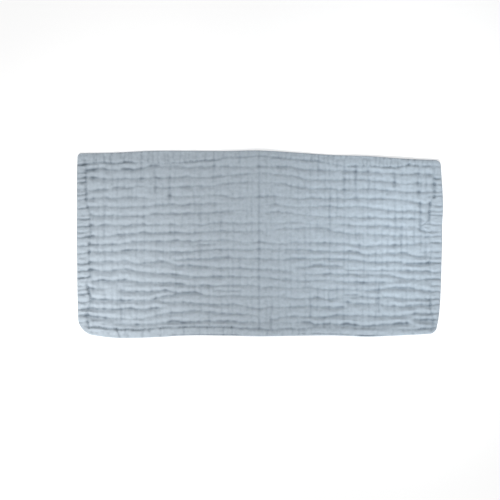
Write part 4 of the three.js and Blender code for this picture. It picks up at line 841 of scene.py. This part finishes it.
def flat_place(u, v):
    """Where a point of the unit square lies in the outline, corners rounded."""
    x, y = ROUGH_SIZE[0] * (u - 0.5), ROUGH_SIZE[1] * (v - 0.5)
    for _ in range(OUTLINE_ROUNDS):
        left, right = along_y(SIDES["left"], y), along_y(SIDES["right"], y)
        x = left + (right - left) * u
        bottom, top = along_x(SIDES["bottom"], x), along_x(SIDES["top"], x)
        y = bottom + (top - bottom) * v
    for (side, end), radius in CORNER_RADII.items():
        in_x, in_y = (1 if side == "left" else -1), (1 if end == "bottom" else -1)
        edge_x, edge_y = along_y(SIDES[side], y), along_x(SIDES[end], x)
        p, q = radius - (x - edge_x) * in_x, radius - (y - edge_y) * in_y
        there = (p > 0) & (q > 0)
        share = np.maximum(p, q) / np.maximum(np.hypot(p, q), 1e-6)
        x = np.where(there, edge_x + (radius - p * share) * in_x, x)
        y = np.where(there, edge_y + (radius - q * share) * in_y, y)
    return x, y


def crowd_edges(t, length):
    """Draws the outermost points of an even row in towards the edge, where the hem rounds over."""
    reach, even = EDGE_CELLS["reach"] / length, EDGE_CELLS["even_share"]
    def eased(s):
        return np.where(s < reach, reach * (even * s / reach + (1 - even) * (s / reach) ** 2), s)
    return np.where(t < 0.5, eased(t), 1 - eased(1 - t))


# Building the pieces

def new_piece(name, bm, material):
    mesh = bpy.data.meshes.new(name)
    bm.to_mesh(mesh)
    bm.free()
    mesh.shade_smooth()
    mesh.materials.append(material)
    piece = bpy.data.objects.new(name, mesh)
    bpy.context.scene.collection.objects.link(piece)
    return piece


def new_grid(bm, cells):
    """A grid's corners, and the place in the outline where each one belongs."""
    corners = bmesh.ops.create_grid(bm, x_segments=cells[0], y_segments=cells[1], size=0.5)["verts"]
    uv = np.array([corner.co[:2] for corner in corners]) + 0.5
    x, y = flat_place(crowd_edges(uv[:, 0], ROUGH_SIZE[0]), crowd_edges(uv[:, 1], ROUGH_SIZE[1]))
    return corners, x, y


def lay_grid(corners, x, y, z, middle):
    for corner, place in zip(corners, np.stack([x - middle[0], y - middle[1], z], axis=1)):
        corner.co = Vector(place) * MM


def make_cloth(material):
    """The cloth's top and underside, each a grid, joined around their rims."""
    bm = bmesh.new()
    top, x, y = new_grid(bm, TOP_CELLS)
    middle = ((x.min() + x.max()) / 2, (y.min() + y.max()) / 2)
    z, trough, edge = surface(x, y)
    foot = base_height(x, y) + FOOT_SHARE * EDGE_HEIGHT
    from_edge = np.clip(edge, 0, EDGE_ROUNDING) / EDGE_ROUNDING
    round_over = np.sqrt(np.clip(1 - (1 - from_edge) ** 2, 0, 1))
    lay_grid(top, x, y, foot + (z - foot) * round_over, middle)

    under, x, y = new_grid(bm, UNDER_CELLS)
    x, y = x * (1 - UNDER["inset"] / ROUGH_HALF[0]), y * (1 - UNDER["inset"] / ROUGH_HALF[1])
    _, below, edge = surface(x, y)
    lifted = UNDER["firmness"] * np.maximum(below, 0) * step(edge, *UNDER["calm"])
    lay_grid(under, x, y, base_height(x, y) + lifted + UNDER["clearance"], middle)

    rims = [e for e in bm.edges if e.is_boundary]
    bmesh.ops.bridge_loops(bm, edges=rims)
    bmesh.ops.recalc_face_normals(bm, faces=bm.faces)
    piece = new_piece("gauze_cloth", bm, material)
    # The trough attribute carries the painted shade to the material
    painted_shade = np.concatenate([trough, below]).astype(np.float32)
    piece.data.attributes.new("trough", "FLOAT", "POINT").data.foreach_set("value", painted_shade)
    return piece, middle


def make_stitches(material, middle):
    """Stitches along the hem, which lie in the line that they pull down."""
    bm = bmesh.new()
    size = Vector((STITCH["length"], STITCH["width"], STITCH["width"] / STITCH["flatness"])) / 2
    shape = Matrix.Diagonal((*size, 1))
    for side, (first, last) in STITCHED.items():
        run = np.arange(first, last, STITCH["pitch"])
        line = smooth_line(HEM[side], run, "place")
        xs, ys = (run, line) if side in ("top", "bottom") else (line, run)
        zs = surface(xs, ys)[0]
        ends = [Vector(end) for end in zip(xs, ys, zs)]
        for here, there in zip(ends, ends[1:]):
            way = (there - here).normalized()
            turn = way.to_track_quat("X", "Z").to_matrix().to_4x4()
            place = here + way * STITCH["pitch"] / 2 - Vector((*middle, -STITCH["raised"]))
            matrix = Matrix.Scale(MM, 4) @ Matrix.Translation(place) @ turn @ shape
            bmesh.ops.create_uvsphere(bm, u_segments=6, v_segments=5, radius=1, matrix=matrix)
    return new_piece("hem_stitches", bm, material)


# Materials

def node(tree, kind, inputs=None, **settings):
    """A shader node with its settings and its sockets' values."""
    made = tree.nodes.new(kind)
    for name, value in settings.items():
        setattr(made, name, value)
    for name, value in (inputs or {}).items():
        made.inputs[name].default_value = value
    return made


def math_node(tree, operation, *inputs):
    """Arithmetic on one or two numbers or sockets."""
    made = node(tree, "ShaderNodeMath", operation=operation)
    for k, given in enumerate(inputs):
        if isinstance(given, (int, float)):
            made.inputs[k].default_value = given
        else:
            tree.links.new(given, made.inputs[k])
    return made.outputs[0]


def new_material(name, **sockets):
    """A material with these sockets set, and its nodes and shader."""
    material = bpy.data.materials.new(name)
    material.use_nodes = True
    tree = material.node_tree
    shader = tree.nodes["Principled BSDF"]
    for socket, value in sockets.items():
        shader.inputs[socket.replace("_", " ")].default_value = value
    return material, tree, shader


def grain(tree, place, inputs):
    """A noise pattern on the piece."""
    made = node(tree, "ShaderNodeTexNoise", inputs=inputs)
    tree.links.new(place, made.inputs["Vector"])
    return made


def gauze_material():
    """Cotton gauze: a plain weave of uneven threads, with painted shade darkening its colour in the
    creases.
    """
    material, tree, shader = new_material(
        "blue_grey_gauze", Roughness=0.92, Specular_IOR_Level=0.25, Sheen_Weight=0.12, Sheen_Roughness=0.5)
    place = node(tree, "ShaderNodeTexCoord").outputs["Object"]

    ripple = grain(tree, place, {"Scale": 260.0, "Detail": 2.0})
    bent = node(tree, "ShaderNodeVectorMath", operation="MULTIPLY_ADD")
    tree.links.new(ripple.outputs["Color"], bent.inputs[0])
    bent.inputs[1].default_value = (THREAD_RIPPLE * MM, THREAD_RIPPLE * MM, 0.0)
    tree.links.new(place, bent.inputs[2])
    apart = node(tree, "ShaderNodeSeparateXYZ")
    tree.links.new(bent.outputs[0], apart.inputs[0])
    threads = 2 * math.pi / (THREAD_PITCH * MM)
    warp = math_node(tree, "SINE", math_node(tree, "MULTIPLY", apart.outputs[0], threads))
    weft = math_node(tree, "SINE", math_node(tree, "MULTIPLY", apart.outputs[1], threads))
    weave = math_node(tree, "MULTIPLY", warp, weft)

    crumple = grain(tree, place, {"Scale": 420.0, "Detail": 3.0, "Roughness": 0.6})
    relief = math_node(tree, "ADD", math_node(tree, "MULTIPLY", weave, WEAVE_SHARE), crumple.outputs["Fac"])
    bump = node(tree, "ShaderNodeBump", inputs={"Strength": 0.35, "Distance": BUMP_DISTANCE * MM})
    tree.links.new(relief, bump.inputs["Height"])
    tree.links.new(bump.outputs[0], shader.inputs["Normal"])

    # Painted shade: the trough attribute mixes the rib colour towards the painted shade colour in creases,
    # pits and lines
    trough = node(tree, "ShaderNodeAttribute", attribute_name="trough").outputs["Fac"]
    shade = node(tree, "ShaderNodeMix", data_type="RGBA")
    shade.inputs["A"].default_value = RIB_COLOUR
    shade.inputs["B"].default_value = PAINTED_SHADE_COLOUR
    tree.links.new(trough, shade.inputs["Factor"])
    cloudy = grain(tree, place, {"Scale": 200.0, "Detail": 3.0, "Roughness": 0.6})
    spread = node(tree, "ShaderNodeMapRange", inputs={"To Min": 0.82, "To Max": 1.18})
    tree.links.new(cloudy.outputs["Fac"], spread.inputs["Value"])
    vary = node(tree, "ShaderNodeMix", data_type="RGBA", blend_type="MULTIPLY", inputs={"Factor": 1.0})
    tree.links.new(shade.outputs["Result"], vary.inputs["A"])
    tree.links.new(spread.outputs[0], vary.inputs["B"])
    tree.links.new(vary.outputs["Result"], shader.inputs["Base Color"])
    return material


def thread_material():
    """Sewing thread: two tones of the gauze's colour, mixed by its twist."""
    material, tree, shader = new_material("sewing_thread", Roughness=0.7)
    place = node(tree, "ShaderNodeTexCoord").outputs["Object"]
    twist = grain(tree, place, {"Scale": 1500.0, "Detail": 2.0})
    shade = node(tree, "ShaderNodeMix", data_type="RGBA")
    shade.inputs["A"].default_value = THREAD_DARK
    shade.inputs["B"].default_value = THREAD_LIGHT
    tree.links.new(twist.outputs["Fac"], shade.inputs["Factor"])
    tree.links.new(shade.outputs["Result"], shader.inputs["Base Color"])
    return material


# Floor, light and camera

def make_floor():
    bm = bmesh.new()
    bmesh.ops.create_grid(bm, x_segments=1, y_segments=1, size=FLOOR["half"])
    material, _, shader = new_material("white_floor", Roughness=0.9, Specular_IOR_Level=0.0)
    shader.inputs["Base Color"].default_value = (FLOOR["grey"], FLOOR["grey"], FLOOR["grey"], 1)
    shader.inputs["Emission Color"].default_value = (1, 1, 1, 1)
    shader.inputs["Emission Strength"].default_value = FLOOR["glow"]
    floor = new_piece("floor", bm, material)


def make_light():
    world = bpy.data.worlds.new("pale_room")
    world.use_nodes = True
    background = world.node_tree.nodes["Background"]
    background.inputs["Color"].default_value = (1.0, 1.0, 1.0, 1)
    background.inputs["Strength"].default_value = ROOM_LIGHT
    bpy.context.scene.world = world
    key = bpy.data.lights.new("key", "AREA")
    key.energy = KEY["watts"]
    key.size = KEY["size"]
    place_light(key, Vector(KEY["at"]), Vector((0, 0, 0)))
    for name, at, aim, cone, watts, colour in SPOTS:
        spot = bpy.data.lights.new(name, "SPOT")
        spot.energy = watts
        spot.color = colour
        spot.spot_size = math.radians(cone)
        spot.spot_blend = 1.0
        spot.shadow_soft_size = SPOT_SOFTNESS
        place_light(spot, Vector(at), Vector(aim))


def place_light(lamp, at, aim):
    holder = bpy.data.objects.new(lamp.name, lamp)
    holder.location = at
    holder.rotation_euler = (aim - at).to_track_quat("-Z", "Y").to_euler()
    bpy.context.scene.collection.objects.link(holder)


def make_camera(middle):
    lens = bpy.data.cameras.new("camera")
    lens.sensor_width = SENSOR
    lens.lens = SENSOR * CAMERA_HEIGHT / (PHOTO_PIXELS * MM_PER_PIXEL * MM)
    camera = bpy.data.objects.new("camera", lens)
    camera.location = (
        (PHOTO_CENTRE[0] - middle[0]) * MM,
        (PHOTO_CENTRE[1] - middle[1]) * MM,
        CAMERA_HEIGHT,
    )
    bpy.context.scene.collection.objects.link(camera)
    bpy.context.scene.camera = camera


gauze = gauze_material()
cloth, cloth_middle = make_cloth(gauze)
stitches = make_stitches(thread_material(), cloth_middle)
for piece in (cloth, stitches):
    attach(piece, "root")
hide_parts("cloth")
make_floor()
make_light()
make_camera(cloth_middle)
bpy.context.scene.view_settings.view_transform = "Standard"
